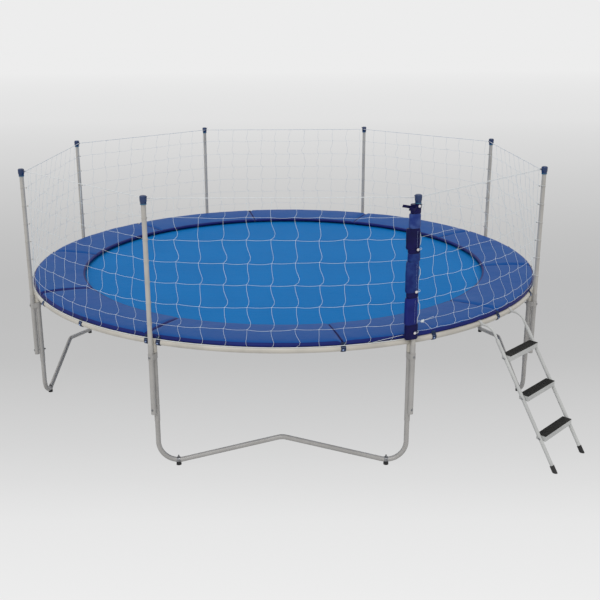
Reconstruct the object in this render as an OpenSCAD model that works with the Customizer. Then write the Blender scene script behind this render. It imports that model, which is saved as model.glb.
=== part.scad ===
// Round garden trampoline: steel ring on four W legs, spring bed, edge pad, cord net and hook-on ladder.
// Millimetres, +Z up. The origin is on the floor under the middle of the ring.
// Azimuth 0 points along -Y and grows towards +X.

/* [Ring frame] */
// Outer diameter of the ring
ring_d = 4300; // [4100:10:4500]
// Height of the top of the ring tube
ring_top_h = 932; // [900:1:980]
// Outer diameter of the ring tube
ring_tube_d = 42; // [42:0.5:46]
// Wall of the ring tube
ring_wall = 2; // [1.5:0.1:2.6]
// Length of the joining sleeve inside the ring at each joint
ring_spigot_len = 78; // [60:1:84]
// Depth of a leg socket below the centre of the ring tube
socket_depth = 78; // [65:1:84]
// Wall of a leg socket
socket_wall = 1.4; // [1.2:0.1:2]

/* [Legs] */
// Angle from the middle of a W leg to each of its uprights
leg_half_angle = 23.6; // [22.8:0.1:24.4]
// Outer diameter of the uprights
upright_d = 38; // [36:0.5:38.5]
// Wall of the uprights
upright_wall = 1.8; // [1.4:0.1:2.2]
// Height of the lower end of the uprights
upright_low_h = 330; // [300:1:350]
// How far the base tube reaches up into an upright
base_overlap = 60; // [40:1:75]
// Radius of the bend between upright and foot, on the tube's centre line
leg_bend_r = 135; // [110:1:150]
// Height of the middle of the W, on the tube's centre line
apex_h = 208; // [180:1:240]
// Radius of the bend in the middle of the W
apex_bend_r = 120; // [90:1:160]
// Wall of the base tube
base_wall = 1.8; // [1.4:0.1:2.5]

/* [Feet] */
// Diameter of a rubber foot
foot_d = 36; // [32:1:44]
// Thickness of the rubber under the clamp
foot_h = 17; // [14:1:24]
// Thickness of the foot clamp
foot_clamp_t = 2; // [1.5:0.1:3]
// Width of the foot clamp along the tube
foot_clamp_w = 26; // [20:1:32]
// Diameter of the bolts in feet and poles
bolt_d = 8; // [6:0.5:8]

/* [Net poles] */
// Outer diameter of the lower pole tubes
pole_low_d = 36; // [35:0.5:38]
// Wall of the lower pole tubes
pole_low_wall = 1.6; // [1.2:0.1:1.7]
// Outer diameter of the upper pole tubes
pole_up_d = 32; // [28:0.5:32]
// Wall of the upper pole tubes
pole_up_wall = 1.4; // [1.2:0.1:2]
// Height of the lower end of the poles
pole_low_h = 397; // [380:1:420]
// Height of the upper end of the lower pole tubes
pole_joint_h = 895; // [885:1:905]
// Height of the top of the pole caps
pole_top_h = 1902; // [1800:5:2050]
// Gap between ring tube and poles
pole_gap = 0.5; // [0.3:0.1:1.5]
// Height of a pole clamp
clamp_h = 40; // [30:1:44]
// Thickness of a pole clamp
clamp_t = 2.5; // [2:0.1:3]
// Diameter of a pole cap
cap_d = 46; // [42:1:50]
// Height of a pole cap
cap_h = 60; // [50:1:70]

/* [Spring bed] */
// Diameter of the jumping mat
mat_d = 3590; // [3560:1:3610]
// Thickness of the jumping mat
mat_t = 3; // [2:0.5:4]
// Width of the webbing under the edge of the mat
webbing_w = 50; // [30:1:60]
// Thickness of the webbing
webbing_t = 3; // [2:0.5:4]
// Number of springs
spring_count = 96; // [48:48:96]
// Outer diameter of the springs
spring_d = 24; // [20:1:26]
// Wire of springs and V rings
wire_d = 4.5; // [3.5:0.1:5]
// Length of a V ring
v_ring_l = 50; // [44:1:60]
// Width of a V ring at the mat
v_ring_w = 48; // [40:1:54]
// How far the spring bed lies below the centre of the ring tube
bed_drop = 7; // [5:0.5:9]

/* [Edge pad] */
// Number of pad segments
pad_count = 10; // [8:1:12]
// Azimuth of the first seam
pad_seam_az = 10.8; // [10:0.1:12]
// Diameter of the inner edge of the pad
pad_inner_d = 3440; // [3380:10:3500]
// Thickness of the pad's inner edge
pad_inner_t = 17; // [14:1:22]
// Thickness of the pad above the ring tube
pad_outer_t = 33; // [28:1:40]
// How far the pad reaches beyond the centre line of the ring
pad_overhang = 5; // [3:0.5:7]
// Width of the straps that hold the pad to the ring
strap_w = 30; // [20:1:34]
// Thickness of the straps
strap_t = 1.6; // [1:0.1:2]

/* [Net] */
// Diameter of the net cord
cord_d = 5; // [4:0.5:6]
// Number of mesh rows between top and bottom rope
net_rows = 6; // [4:1:8]
// Width of a mesh
mesh_w = 155; // [130:5:200]
// Distance from a pole to the upright cord along the edge of a panel
net_edge = 30; // [20:1:40]
// Gap between the top rope and the row below it
top_row_gap = 126; // [100:1:150]
// Gap between the bottom rope and the row above it
bottom_row_gap = 112; // [60:1:130]
// Height of the top rope below the top of the pole caps
top_rope_drop = 25; // [20:1:32]
// Height of the entry net's lower edge above the ring tube
entry_clear = 43; // [40:1:60]
// Gap between the entry sleeve's pole and the free edge of the entry net
entry_edge = 56; // [54:1:80]
// Diameter of the cord along the free edge of the entry net
edge_d = 6; // [5:0.5:7]

/* [Entry sleeve] */
// Width of the sleeve across the pole
sleeve_w = 92; // [80:1:100]
// Depth of the sleeve from inside to outside
sleeve_depth = 48; // [44:1:52]
// Height of the sleeve's lower end above the ring tube
sleeve_clear = 6; // [4:1:20]
// Length of the wide part of the sleeve
sleeve_l = 750; // [650:5:800]
// Width of the sleeve's neck, which reaches up to the pole cap
neck_w = 69; // [60:1:76]
// Number of buttons that close the entry net
toggle_count = 4; // [3:1:6]
// Diameter of a button
toggle_d = 18; // [14:1:20]
// Diameter of the button loops on the entry net
toggle_cord_d = 3; // [2:0.5:4]

/* [Ladder] */
// Azimuth of the ladder
ladder_az = 45.8; // [45.4:0.1:46]
// Distance between the middles of the stiles
stile_gap = 400; // [392:1:404]
// Outer diameter of the stiles
stile_d = 25; // [23:0.5:28]
// Wall of the stiles
stile_wall = 1.5; // [1.2:0.1:2.2]
// Diameter of the bent hook rods
hook_d = 17; // [14:0.5:18]
// Lean of the stiles from upright
ladder_lean = 31.07; // [29:0.1:33]
// Radius of the hook bend, on the rod's centre line
hook_bend_r = 95; // [80:1:110]
// Straight length of the hook before its bend
hook_reach = 50.4; // [46:0.2:60]
// Thickness of the saddle that hangs on the ring tube
saddle_t = 3; // [2:0.1:3.2]
// Width of the saddle along the ring
saddle_w = 24; // [18:1:26]
// Heights of the tops of the three treads
step_heights = [732, 480, 231];
// Depth of a step from front to back
step_depth = 68; // [60:1:80]
// Height of a step without its tread
step_h = 36; // [30:1:44]
// Wall of a step
step_wall = 2; // [1.5:0.1:3]
// Thickness of a tread without its ribs
tread_t = 3; // [2:0.5:5]
// Length of a ladder foot along the stile
boot_l = 46; // [40:1:60]
// Wall of a ladder foot
boot_wall = 3; // [2:0.5:4]

/* [Hidden] */

$fn = 48;
ring_fn = 180;       // facets of a full turn about the middle of the trampoline
seat = 0.3;          // gap between pieces that lie against each other
slip = 0.2;          // gap round a tube or bolt in its bore
weld_lap = 2;        // how far a straight tube or rod runs into a bend of the same piece
weld_inset = 0.1;    // how far its skin lies inside the bend's skin
white_steel = [0.80, 0.80, 0.78];
grey_steel = [0.62, 0.62, 0.60];
zinc = [0.70, 0.71, 0.73];
black_rubber = [0.06, 0.06, 0.06];
pad_blue = [0.16, 0.27, 0.60];
mat_blue = [0.07, 0.42, 0.78];
navy = [0.08, 0.12, 0.32];
cap_blue = [0.10, 0.28, 0.50];
cord_white = [0.86, 0.90, 0.94];

// Ring
ring_r = (ring_d - ring_tube_d) / 2;
ring_z = ring_top_h - ring_tube_d / 2;
ring_in_d = ring_tube_d - 2 * ring_wall;
quadrants = [0, 90, 180, 270];
post_az = [for (q = quadrants) each [q - leg_half_angle, q + leg_half_angle]];
joint_az = 1.3;      // from each upright to the ring joint beside it
spigot_wall = 1.5;
socket_in_d = upright_d + 2 * slip;
socket_d = socket_in_d + 2 * socket_wall;

// Legs: a W leg stands in the upright plane through its two ring sockets
leg_plane_r = ring_r * cos(leg_half_angle);
half_span = ring_r * sin(leg_half_angle);
base_d = upright_d - 2 * upright_wall - 2 * slip;
foot_span = half_span - leg_bend_r;
base_low_z = foot_h + foot_clamp_t + base_d / 2;
bend_z = base_low_z + leg_bend_r;
apex_c_z = apex_h - apex_bend_r;
slope = asin((leg_bend_r + apex_bend_r) / norm([foot_span, bend_z - apex_c_z]))
    - atan2(bend_z - apex_c_z, foot_span);
slope_start = [foot_span - leg_bend_r * sin(slope), bend_z - leg_bend_r * cos(slope)];
slope_end = [apex_bend_r * sin(slope), apex_c_z + apex_bend_r * cos(slope)];
foot_top_z = base_low_z + base_d / 2 + foot_clamp_t;

// Fasteners
bolt_hole_d = bolt_d + 0.4;
nut_h = 0.8 * bolt_d;
nut_d = 1.9 * bolt_d;
head_d = 2.1 * bolt_d;

// Poles
pole_r = ring_r + ring_tube_d / 2 + pole_gap + pole_low_d / 2;
pole_bolt_z = [pole_low_h + 34, ring_z - socket_depth - clamp_h / 2 - 3];
pole_up_z = pole_bolt_z[1] + bolt_d / 2 + seat;
cap_roof = 8;
cap_in_d = pole_up_d + 2 * slip;
cap_low_z = pole_top_h - cap_h;
cap_neck_d = cap_in_d + 5;

// Spring bed
bed_z = ring_z - bed_drop;
mat_r = mat_d / 2;
v_side = v_ring_w / 2;
v_tip = mat_r + seat + v_ring_l;             // outer end of a V ring
loop_r = 8;                                  // spring end loop, on the wire's centre line
loop_c = v_tip - wire_d - seat + sqrt(pow(loop_r - wire_d / 2, 2) - pow(wire_d / 2, 2));
loop_neck = 8;                               // between loop and coil
hook_neck = 32;                              // between coil and ring tube
hook_grip = 5;                               // how far the wire reaches inside the ring tube
wire_lap = 1;                                // how far the wire's ends run into the coil
coil_start = loop_c + loop_r + loop_neck;
coil_end = ring_r - ring_tube_d / 2 - hook_neck;
ring_hook = ring_r - ring_in_d / 2 + hook_grip;
hook_hole_d = wire_d + 1.5;
spring_step = 360 / spring_count;

// Pad
pad_low_z = ring_z + ring_tube_d / 2 - 7;
pad_outer_r = ring_r + pad_overhang;
pad_inner_r = pad_inner_d / 2;
pad_seam_gap = 0.5;
pad_crest = 44;      // inside the ring's centre line: the highest line of the pad,
pad_step = [29, 17]; // and the two edges of the underside's step over the ring tube
saddle_room = 3;     // the pad is cut away this much beyond each side of a saddle,
saddle_play = 0.5;   // and this much above it
pad_lip = 3;         // how far the inner edge leans outwards
pad_nose = 14;       // depth of the sloping outer edge, between these shares of the thickness
pad_nose_share = [0.42, 0.8];
strap_az = [-57.8, -41.5, -24.8, -22.4, 10.8, 28.5, 46.2, 64, 68.8, 82.8, 100.8, 118.8,
    136.8, 154, 172.8, -169.2, -151.2, -133.2, -116, -97.2, -79.2];
strap_open = [45, 90, 150, 220]; // a strap leaves the ring tube open between the first and last of these

// Net
net_inset = 5;       // from the skin of the pole caps to the net
net_r = pole_r - cap_d / 2 - net_inset;
top_rope_z = pole_top_h - top_rope_drop;
rope_rest = ring_tube_d / 2 + cord_d / 2 + seat;
bottom_rope_z = ring_z + sqrt(rope_rest * rope_rest - pow(net_r - ring_r, 2));
eyelet_wire = 3.2;
eyelet_r = cord_d / 2 + eyelet_wire / 2 + 2 * seat;
tie_wire = 2.4;
tie_r = pole_up_d / 2 + slip + tie_wire / 2;
knot_d = 2 * cord_d;
knot_r = pole_r - net_r;                     // from the pole's axis to a knot
row_trim = knot_d / 2 + seat;                // from a pole to the end of a row
shared_turn = 12;                            // knots of two nets on one pole stand apart
shared_lift = 4;
shared_trim = knot_r * sin(shared_turn) + row_trim;
sleeve_post = 1;     // index in post_az of the pole that carries the sleeve
hinge_post = 2;      // index in post_az of the pole that carries the entry net
entry_low_z = ring_top_h + entry_clear;
entry_top_z = top_rope_z - cord_d - seat;
edge_seat = sqrt(pow((edge_d + 2 * seat) / 2, 2) - pow(cord_d / 2 + seat, 2));
column_out = cord_d + seat;                  // columns lie just outside the rows

// Entry sleeve and its buttons
sleeve_az = post_az[sleeve_post];
sleeve_low_z = ring_top_h + sleeve_clear;
sleeve_end_z = sleeve_low_z + sleeve_l;
toggle_low_z = entry_low_z + toggle_d / 2 + 1;
toggle_high_z = cap_low_z - toggle_d / 2 - 3;
toggle_z = [for (i = [0:toggle_count - 1])
    toggle_low_z + i * (toggle_high_z - toggle_low_z) / (toggle_count - 1)];
button_y = -8;       // from the pole's axis to the buttons, along the outside of the sleeve
button_stem_r = 3.5;
button_stem_l = 6;
button_head_t = 4;

// Ladder, in the plane of a stile: X is the distance from the middle, Y the height
ladder_half_angle = asin(stile_gap / 2 / ring_r);
saddle_r = ring_r * cos(ladder_half_angle);
saddle_slip = saddle_w / 2 * tan(ladder_half_angle) + seat;
saddle_in_r = ring_tube_d / 2 + saddle_slip;
saddle_out_r = saddle_in_r + saddle_t;
bend_x = saddle_r + hook_reach;
bend_turn = 90 - ladder_lean;
stile_dir = [sin(ladder_lean), -cos(ladder_lean)];
bend_end = [bend_x + hook_bend_r * sin(bend_turn), ring_z - hook_bend_r * (1 - cos(bend_turn))];
stile_start = 40;    // from the end of the bend to the top of the stile
hook_plug = 50;      // how far the hook rod goes down inside the stile
collar_l = 18;       // length of the drawn-in end of the stile that grips the rod
saddle_open = [105, 180, 260]; // the saddle leaves the ring tube open between the first and last
stile_low_z = stile_d / 2 * sin(ladder_lean) + 6;
stile_end = (bend_end[1] - stile_low_z) / cos(ladder_lean);
step_len = stile_gap - stile_d - 2 * seat;
step_axis_drop = tread_t + step_h / 2;
rib_h = 1.2;
rib_w = 4;
rib_count = 7;

function on_stile(z) = bend_end[0] + (bend_end[1] - z) * tan(ladder_lean);

// ---- helpers ----

// Local +X points outwards at this azimuth, local +Y along growing azimuth
module at(az) rotate([0, 0, az - 90]) children();

// The upright plane of a leg: X runs along the chord, Y is the height
module leg_plane(az) at(az) translate([leg_plane_r, 0, 0]) rotate([90, 0, 90]) children();

module annulus(d, wall) {
    difference() {
        circle(d = d);
        circle(d = d - 2 * wall);
    }
}

// Bent tube about the local Z axis
module tube_arc(r, from, to, d, wall) {
    rotate([0, 0, from]) rotate_extrude(angle = to - from) translate([r, 0]) annulus(d, wall);
}

// Straight tube along local X
module tube_x(len, d, wall) rotate([0, 90, 0]) linear_extrude(len) annulus(d, wall);

// Part of a turn about the middle of the trampoline, of a profile in (radius, height)
module sweep_az(from, to) rotate([0, 0, from - 90])
    rotate_extrude(angle = to - from, $fn = ring_fn) children();

// ---- ring and legs ----

module ring_hook_holes(from, to) {
    for (i = [ceil(from / spring_step):1:floor(to / spring_step)])
        at(i * spring_step) translate([ring_r - ring_tube_d, 0, bed_z]) rotate([0, 90, 0])
            cylinder(d = hook_hole_d, h = ring_tube_d);
}

module ring_tubes() {
    color(grey_steel)
    for (i = [0:len(post_az) - 1]) {
        from = post_az[i] + joint_az;
        to = (i < len(post_az) - 1 ? post_az[i + 1] : post_az[0] + 360) + joint_az;
        difference() {
            sweep_az(from + 0.01, to) translate([ring_r, ring_z]) annulus(ring_tube_d, ring_wall);
            ring_hook_holes(from, to);
        }
    }
}

module ring_spigots() {
    half = ring_spigot_len / 2 / ring_r * 180 / PI;
    color(zinc)
    for (az = post_az) {
        from = az + joint_az - half;
        to = az + joint_az + half;
        difference() {
            sweep_az(from, to) translate([ring_r, ring_z]) annulus(ring_in_d - 2 * slip, spigot_wall);
            ring_hook_holes(from, to);
        }
    }
}

module leg_sockets() {
    color(grey_steel)
    for (az = post_az)
        difference() {
            at(az) translate([ring_r, 0, ring_z - socket_depth])
                linear_extrude(socket_depth) annulus(socket_d, socket_wall);
            rotate([0, 0, az - 92]) rotate_extrude(angle = 4, $fn = ring_fn)
                translate([ring_r, ring_z]) circle(d = ring_tube_d + 0.1);
            at(az) translate([ring_r, 0, ring_z]) cylinder(d = 2 * socket_d, h = ring_tube_d);
        }
}

module pole_bolt_holes(az) {
    for (z = pole_bolt_z)
        at(az) translate([ring_r - upright_d, 0, z]) rotate([0, 90, 0])
            cylinder(d = bolt_hole_d, h = 3 * upright_d);
}

module leg_uprights() {
    top_z = ring_z - ring_tube_d / 2 - 1;
    color(grey_steel)
    for (az = post_az)
        difference() {
            at(az) translate([ring_r, 0, upright_low_h])
                linear_extrude(top_z - upright_low_h) annulus(upright_d, upright_wall);
            pole_bolt_holes(az);
        }
}

// One half of a W base, from the apex to the end inside the upright. The straight parts run
// a little way into the bends, their wall inside the bend's wall.
module base_half() {
    straight_d = base_d - 2 * weld_inset;
    straight_wall = base_wall - 2 * weld_inset;
    translate([foot_span, bend_z, 0]) tube_arc(leg_bend_r, -90 - slope, 0, base_d, base_wall);
    translate([half_span, bend_z - weld_lap, 0]) rotate([0, 0, 90])
        tube_x(upright_low_h + base_overlap - bend_z + weld_lap, straight_d, straight_wall);
    translate([slope_start[0], slope_start[1], 0]) rotate([0, 0, 180 - slope]) translate([-weld_lap, 0, 0])
        tube_x(norm(slope_end - slope_start) + 2 * weld_lap, straight_d, straight_wall);
}

module leg_base(az) {
    color(grey_steel) leg_plane(az)
    difference() {
        union() {
            base_half();
            mirror([1, 0, 0]) base_half();
            translate([0, apex_c_z, 0])
                tube_arc(apex_bend_r, 90 - slope, 90 + slope, base_d, base_wall);
        }
        for (side = [-1, 1])
            translate([side * foot_span, 0, 0]) rotate([-90, 0, 0])
                cylinder(d = bolt_hole_d, h = foot_top_z + 10);
    }
}

module leg_base_front() leg_base(0);
module leg_base_right() leg_base(90);
module leg_base_back() leg_base(180);
module leg_base_left() leg_base(270);

// Places a foot's parts: origin on the floor under the lowest point of the bend
module at_feet() {
    for (az = quadrants, side = [-1, 1])
        leg_plane(az) translate([side * foot_span, 0, 0]) children();
}

module rubber_feet() {
    saddle_d = base_d + 2 * foot_clamp_t + 2 * slip;
    color(black_rubber) at_feet()
    difference() {
        rotate([-90, 0, 0]) cylinder(d1 = foot_d, d2 = foot_d - 3, h = foot_h + 5);
        translate([0, bend_z, 0]) rotate([0, 0, -110]) rotate_extrude(angle = 40)
            translate([leg_bend_r, 0]) circle(d = saddle_d);
        translate([0, 6, 0]) rotate([-90, 0, 0]) cylinder(d = bolt_hole_d, h = foot_h);
    }
}

module foot_clamps() {
    half = foot_clamp_w / 2 / leg_bend_r * 180 / PI;
    color(zinc) at_feet()
    difference() {
        translate([0, bend_z, 0])
            tube_arc(leg_bend_r, -90 - half, -90 + half, base_d + 2 * foot_clamp_t, foot_clamp_t - slip);
        translate([0, 6, 0]) rotate([-90, 0, 0]) cylinder(d = bolt_hole_d, h = foot_top_z);
    }
}

module foot_bolts() {
    bolt_low = 7;
    color(zinc) at_feet() rotate([-90, 0, 0]) {
        translate([0, 0, bolt_low]) cylinder(d = bolt_d, h = foot_top_z + nut_h + 9 - bolt_low);
        translate([0, 0, foot_top_z + 0.4])
        difference() {
            cylinder(d = nut_d, h = nut_h, $fn = 6);
            translate([0, 0, -1]) cylinder(d = bolt_d + 0.1, h = nut_h + 2);
        }
    }
}

// ---- net poles ----

module pole_lower_tubes() {
    color(grey_steel)
    for (az = post_az)
        difference() {
            at(az) translate([pole_r, 0, pole_low_h])
                linear_extrude(pole_joint_h - pole_low_h) annulus(pole_low_d, pole_low_wall);
            pole_bolt_holes(az);
        }
}

module pole_upper_tubes() {
    color(white_steel)
    for (az = post_az)
        at(az) translate([pole_r, 0, pole_up_z])
            linear_extrude(pole_top_h - cap_roof - seat - pole_up_z) annulus(pole_up_d, pole_up_wall);
}

module clamp_outline(extra) {
    r1 = upright_d / 2 + slip + extra;
    r2 = pole_low_d / 2 + slip + extra;
    gap = pole_r - ring_r;
    tilt = acos((r1 - r2) / gap);
    circle(r = r1);
    translate([gap, 0]) circle(r = r2);
    polygon([
        r1 * [cos(tilt), sin(tilt)], r1 * [cos(tilt), -sin(tilt)],
        [gap, 0] + r2 * [cos(tilt), -sin(tilt)], [gap, 0] + r2 * [cos(tilt), sin(tilt)]
    ]);
}

module pole_clamps() {
    color(grey_steel)
    for (az = post_az)
        difference() {
            at(az) translate([ring_r, 0, pole_bolt_z[1] - clamp_h / 2]) linear_extrude(clamp_h)
            difference() {
                clamp_outline(clamp_t);
                circle(d = upright_d + 2 * slip);
                translate([pole_r - ring_r, 0]) circle(d = pole_low_d + 2 * slip);
            }
            pole_bolt_holes(az);
        }
}

// A bolt through pole and upright, with its domed head outside and its nut inside
module pole_bolt(stack) {
    in_x = ring_r - upright_d / 2 - stack - seat;
    out_x = pole_r + pole_low_d / 2 + stack + seat;
    translate([in_x - nut_h - 5, 0, 0]) rotate([0, 90, 0]) cylinder(d = bolt_d, h = out_x - in_x + nut_h + 6);
    translate([out_x, 0, 0]) rotate([0, 90, 0]) cylinder(d1 = head_d, d2 = 0.6 * head_d, h = 0.5 * bolt_d);
    translate([in_x, 0, 0]) rotate([0, -90, 0])
    difference() {
        cylinder(d = nut_d, h = nut_h, $fn = 6);
        translate([0, 0, -1]) cylinder(d = bolt_d + 0.1, h = nut_h + 2);
    }
}

module pole_bolts() {
    color(zinc)
    for (az = post_az)
        at(az) {
            translate([0, 0, pole_bolt_z[0]]) pole_bolt(0);
            translate([0, 0, pole_bolt_z[1]]) pole_bolt(clamp_t + slip);
        }
}

module pole_caps() {
    edge = 4;
    color(cap_blue)
    for (az = post_az)
        at(az) {
            translate([pole_r, 0, 0])
            difference() {
                rotate_extrude() polygon([
                    [0, pole_top_h], [cap_d / 2 - 2 * edge, pole_top_h - 1],
                    [cap_d / 2 - edge / 2, pole_top_h - edge], [cap_d / 2, pole_top_h - 2 * edge],
                    [cap_d / 2, top_rope_z - 8], [cap_neck_d / 2 + 1, cap_low_z + 10],
                    [cap_neck_d / 2, cap_low_z], [0, cap_low_z]
                ]);
                translate([0, 0, cap_low_z - 1]) cylinder(d = cap_in_d, h = cap_h - cap_roof + 1);
            }
            translate([net_r, 0, top_rope_z]) rotate([90, 0, 0]) rotate_extrude()
                translate([eyelet_r, 0]) circle(d = eyelet_wire, $fn = 24);
        }
}

// ---- spring bed ----

module springs() {
    color(zinc)
    for (i = [0:spring_count - 1])
        at(i * spring_step) translate([0, 0, bed_z]) {
            translate([coil_start, 0, 0]) rotate([0, 90, 0])
                cylinder(d = spring_d, h = coil_end - coil_start);
            translate([coil_end - wire_lap, 0, 0]) rotate([0, 90, 0])
                cylinder(d = wire_d, h = ring_hook - coil_end + wire_lap, $fn = 24);
            translate([loop_c + loop_r - wire_lap, 0, 0]) rotate([0, 90, 0])
                cylinder(d = wire_d, h = loop_neck + 2 * wire_lap, $fn = 24);
            translate([loop_c, 0, 0]) rotate([90, 0, 0]) rotate_extrude(angle = 300)
                translate([loop_r, 0]) circle(d = wire_d, $fn = 24);
        }
}

module jumping_mat() {
    color(mat_blue) translate([0, 0, bed_z - mat_t / 2]) cylinder(r = mat_r, h = mat_t, $fn = ring_fn);
}

module mat_webbing() {
    color(navy) translate([0, 0, bed_z - mat_t / 2 - seat - webbing_t])
        linear_extrude(webbing_t)
        difference() {
            circle(r = mat_r, $fn = ring_fn);
            circle(r = mat_r - webbing_w, $fn = ring_fn);
        }
}

module v_rings() {
    base_x = mat_r + seat;
    tip_half = wire_d / 2 + 1.9;
    in_base = base_x + wire_d;
    in_tip = v_tip - wire_d;
    color(zinc)
    for (i = [0:spring_count - 1])
        at(i * spring_step) translate([0, 0, bed_z - wire_d / 2]) linear_extrude(wire_d)
        difference() {
            polygon([
                [base_x, -v_side], [base_x, v_side],
                [v_tip, tip_half + wire_d / 2], [v_tip, -tip_half - wire_d / 2]
            ]);
            polygon([
                [in_base, 1.3 * wire_d - v_side], [in_base, v_side - 1.3 * wire_d],
                [in_tip, tip_half], [in_tip, -tip_half]
            ]);
        }
}

// ---- pad ----

// Room for the ladder's saddles under the pad
module saddle_space() {
    room = saddle_w + 2 * saddle_room;
    for (side = [-1, 1])
        at(ladder_az) translate([saddle_r, (side * stile_gap - room) / 2, ring_z]) rotate([-90, 0, 0])
            cylinder(r = saddle_out_r + saddle_play, h = room);
}

module safety_pad() {
    half_gap = pad_seam_gap / 2 / pad_outer_r * 180 / PI;
    color(pad_blue)
    for (i = [0:pad_count - 1]) {
        from = pad_seam_az + i * 360 / pad_count + half_gap;
        to = pad_seam_az + (i + 1) * 360 / pad_count - half_gap;
        difference() {
            sweep_az(from, to) polygon([
                [pad_inner_r, pad_low_z], [ring_r - pad_step[0], pad_low_z],
                [ring_r - pad_step[1], ring_top_h + seat], [pad_outer_r, ring_top_h + seat],
                [pad_outer_r, ring_top_h + pad_nose_share[0] * pad_outer_t],
                [pad_outer_r - pad_nose, ring_top_h + pad_nose_share[1] * pad_outer_t],
                [ring_r - pad_crest, ring_top_h + pad_outer_t],
                [pad_inner_r + pad_lip, pad_low_z + pad_inner_t]
            ]);
            if (abs(from - ladder_az) < 360 / pad_count
                || abs(to - ladder_az) < 360 / pad_count) saddle_space();
        }
    }
}

module pad_straps() {
    half = strap_w / 2 / ring_r * 180 / PI;
    reach = 2 * ring_tube_d;
    color(navy)
    for (az = strap_az)
        sweep_az(az - half, az + half) translate([ring_r, ring_z])
        difference() {
            annulus(ring_tube_d + 2 * (strap_t + slip), strap_t);
            polygon([[0, 0], for (turn = strap_open) reach * [cos(turn), sin(turn)]]);
        }
}

// ---- net ----

// A net bay between two poles. Rows are arcs that grow from the straight top rope to the curve of the ring.
function bay_half(from, to) = (to - from) / 2;
function row_sagitta(half, z) =
    net_r * (1 - cos(half)) * (top_rope_z - z) / (top_rope_z - bottom_rope_z);
function row_radius(half, z) =
    (pow(net_r * sin(half), 2) + pow(row_sagitta(half, z), 2)) / (2 * row_sagitta(half, z));
function row_x(half, z, y) =
    let (r = row_radius(half, z))
    net_r * cos(half) + row_sagitta(half, z) - r + sqrt(r * r - y * y);

// Row of a bay whose middle is on local +X, with this much left off at each end
module net_row(half, z, d, trim_from, trim_to) {
    r = row_radius(half, z);
    c = net_r * cos(half) + row_sagitta(half, z) - r;
    y0 = -net_r * sin(half) + trim_from;
    y1 = net_r * sin(half) - trim_to;
    translate([c, 0, z]) rotate([0, 0, asin(y0 / r)])
        rotate_extrude(angle = asin(y1 / r) - asin(y0 / r), $fn = 4 * ring_fn)
        translate([r, 0]) circle(d = d, $fn = 24);
}

// Where a column crosses height z, this far along the bay
function column_at(half, y, z) = [
    let (slant = (row_x(half, bottom_rope_z, y) - net_r * cos(half)) / (top_rope_z - bottom_rope_z))
    net_r * cos(half) + column_out + slant * (top_rope_z - z), y, z];

module net_column(half, y, high_z, low_z, d) {
    top = column_at(half, y, high_z);
    run = column_at(half, y, low_z) - top;
    translate(top) rotate([0, 180 - atan2(run[0], -run[2]), 0]) cylinder(d = d, h = norm(run), $fn = 24);
}

row_pitch = (top_rope_z - top_row_gap - bottom_rope_z - bottom_row_gap) / (net_rows - 1);
row_heights = [for (i = [0:net_rows - 1]) top_rope_z - top_row_gap - i * row_pitch];

// Rows and columns between two poles, and an upright cord this far from the first pole if edge isn't 0
module net_mesh(from, to, high_z, low_z, trim_from, trim_to, edge = 0) {
    half = bay_half(from, to);
    y0 = -net_r * sin(half) + trim_from;
    y1 = net_r * sin(half) - trim_to;
    columns = round((y1 - y0) / mesh_w);
    at((from + to) / 2) {
        for (z = row_heights) net_row(half, z, cord_d, trim_from, trim_to);
        for (y = [if (edge > 0) y0 + edge, for (i = [1:columns - 1]) y0 + i * (y1 - y0) / columns])
            net_column(half, y, high_z, low_z, cord_d);
    }
}

function bay_end(i) = i < len(post_az) - 1 ? post_az[i + 1] : post_az[0] + 360;

module net_panel(i) {
    color(cord_white)
    net_mesh(post_az[i], bay_end(i), top_rope_z, bottom_rope_z, i == hinge_post ? shared_trim : row_trim,
        row_trim, net_edge);
}

module net_panel_1() net_panel(0);
module net_panel_2() net_panel(2);
module net_panel_3() net_panel(3);
module net_panel_4() net_panel(4);
module net_panel_5() net_panel(5);
module net_panel_6() net_panel(6);
module net_panel_7() net_panel(7);

// The top rope runs straight from eyelet to eyelet
module net_top_rope() {
    color(cord_white)
    for (i = [0:len(post_az) - 1]) {
        half = bay_half(post_az[i], bay_end(i));
        at((post_az[i] + bay_end(i)) / 2) translate([net_r * cos(half), -net_r * sin(half), top_rope_z])
            rotate([-90, 0, 0]) cylinder(d = cord_d - 2 * weld_inset, h = 2 * net_r * sin(half), $fn = 24);
        at(post_az[i]) translate([net_r, 0, top_rope_z]) sphere(d = cord_d, $fn = 24);
    }
}

module net_bottom_rope() {
    color(cord_white)
    sweep_az(post_az[hinge_post], post_az[sleeve_post] + 360)
        translate([net_r, bottom_rope_z]) circle(d = cord_d, $fn = 24);
}

// A loop round a pole with the knot that holds a row
module tie(z, turn) {
    translate([pole_r, 0, z]) rotate([0, 0, turn]) {
        rotate_extrude() translate([tie_r, 0]) circle(d = tie_wire, $fn = 24);
        translate([-knot_r, 0, 0]) sphere(d = knot_d, $fn = 24);
        translate([-knot_r, 0, 0]) rotate([0, 90, 0])
            cylinder(d = 0.8 * tie_wire, h = knot_r - tie_r, $fn = 24);
    }
}

module net_ties() {
    color(cord_white)
    for (i = [0:len(post_az) - 1])
        if (i != sleeve_post)
            at(post_az[i])
                for (z = row_heights) tie(i == hinge_post ? z - shared_lift : z, i == hinge_post ? -shared_turn : 0);
}

// ---- entry ----

function sleeve_side(w) = (w - sleeve_depth) / 2;

module sleeve_outline(w) {
    difference() {
        union() {
            for (s = [-1, 1]) translate([0, s * sleeve_side(w)]) circle(d = sleeve_depth);
            square([sleeve_depth, 2 * sleeve_side(w)], center = true);
        }
        circle(d = pole_up_d + 2 * slip);
    }
}

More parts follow.
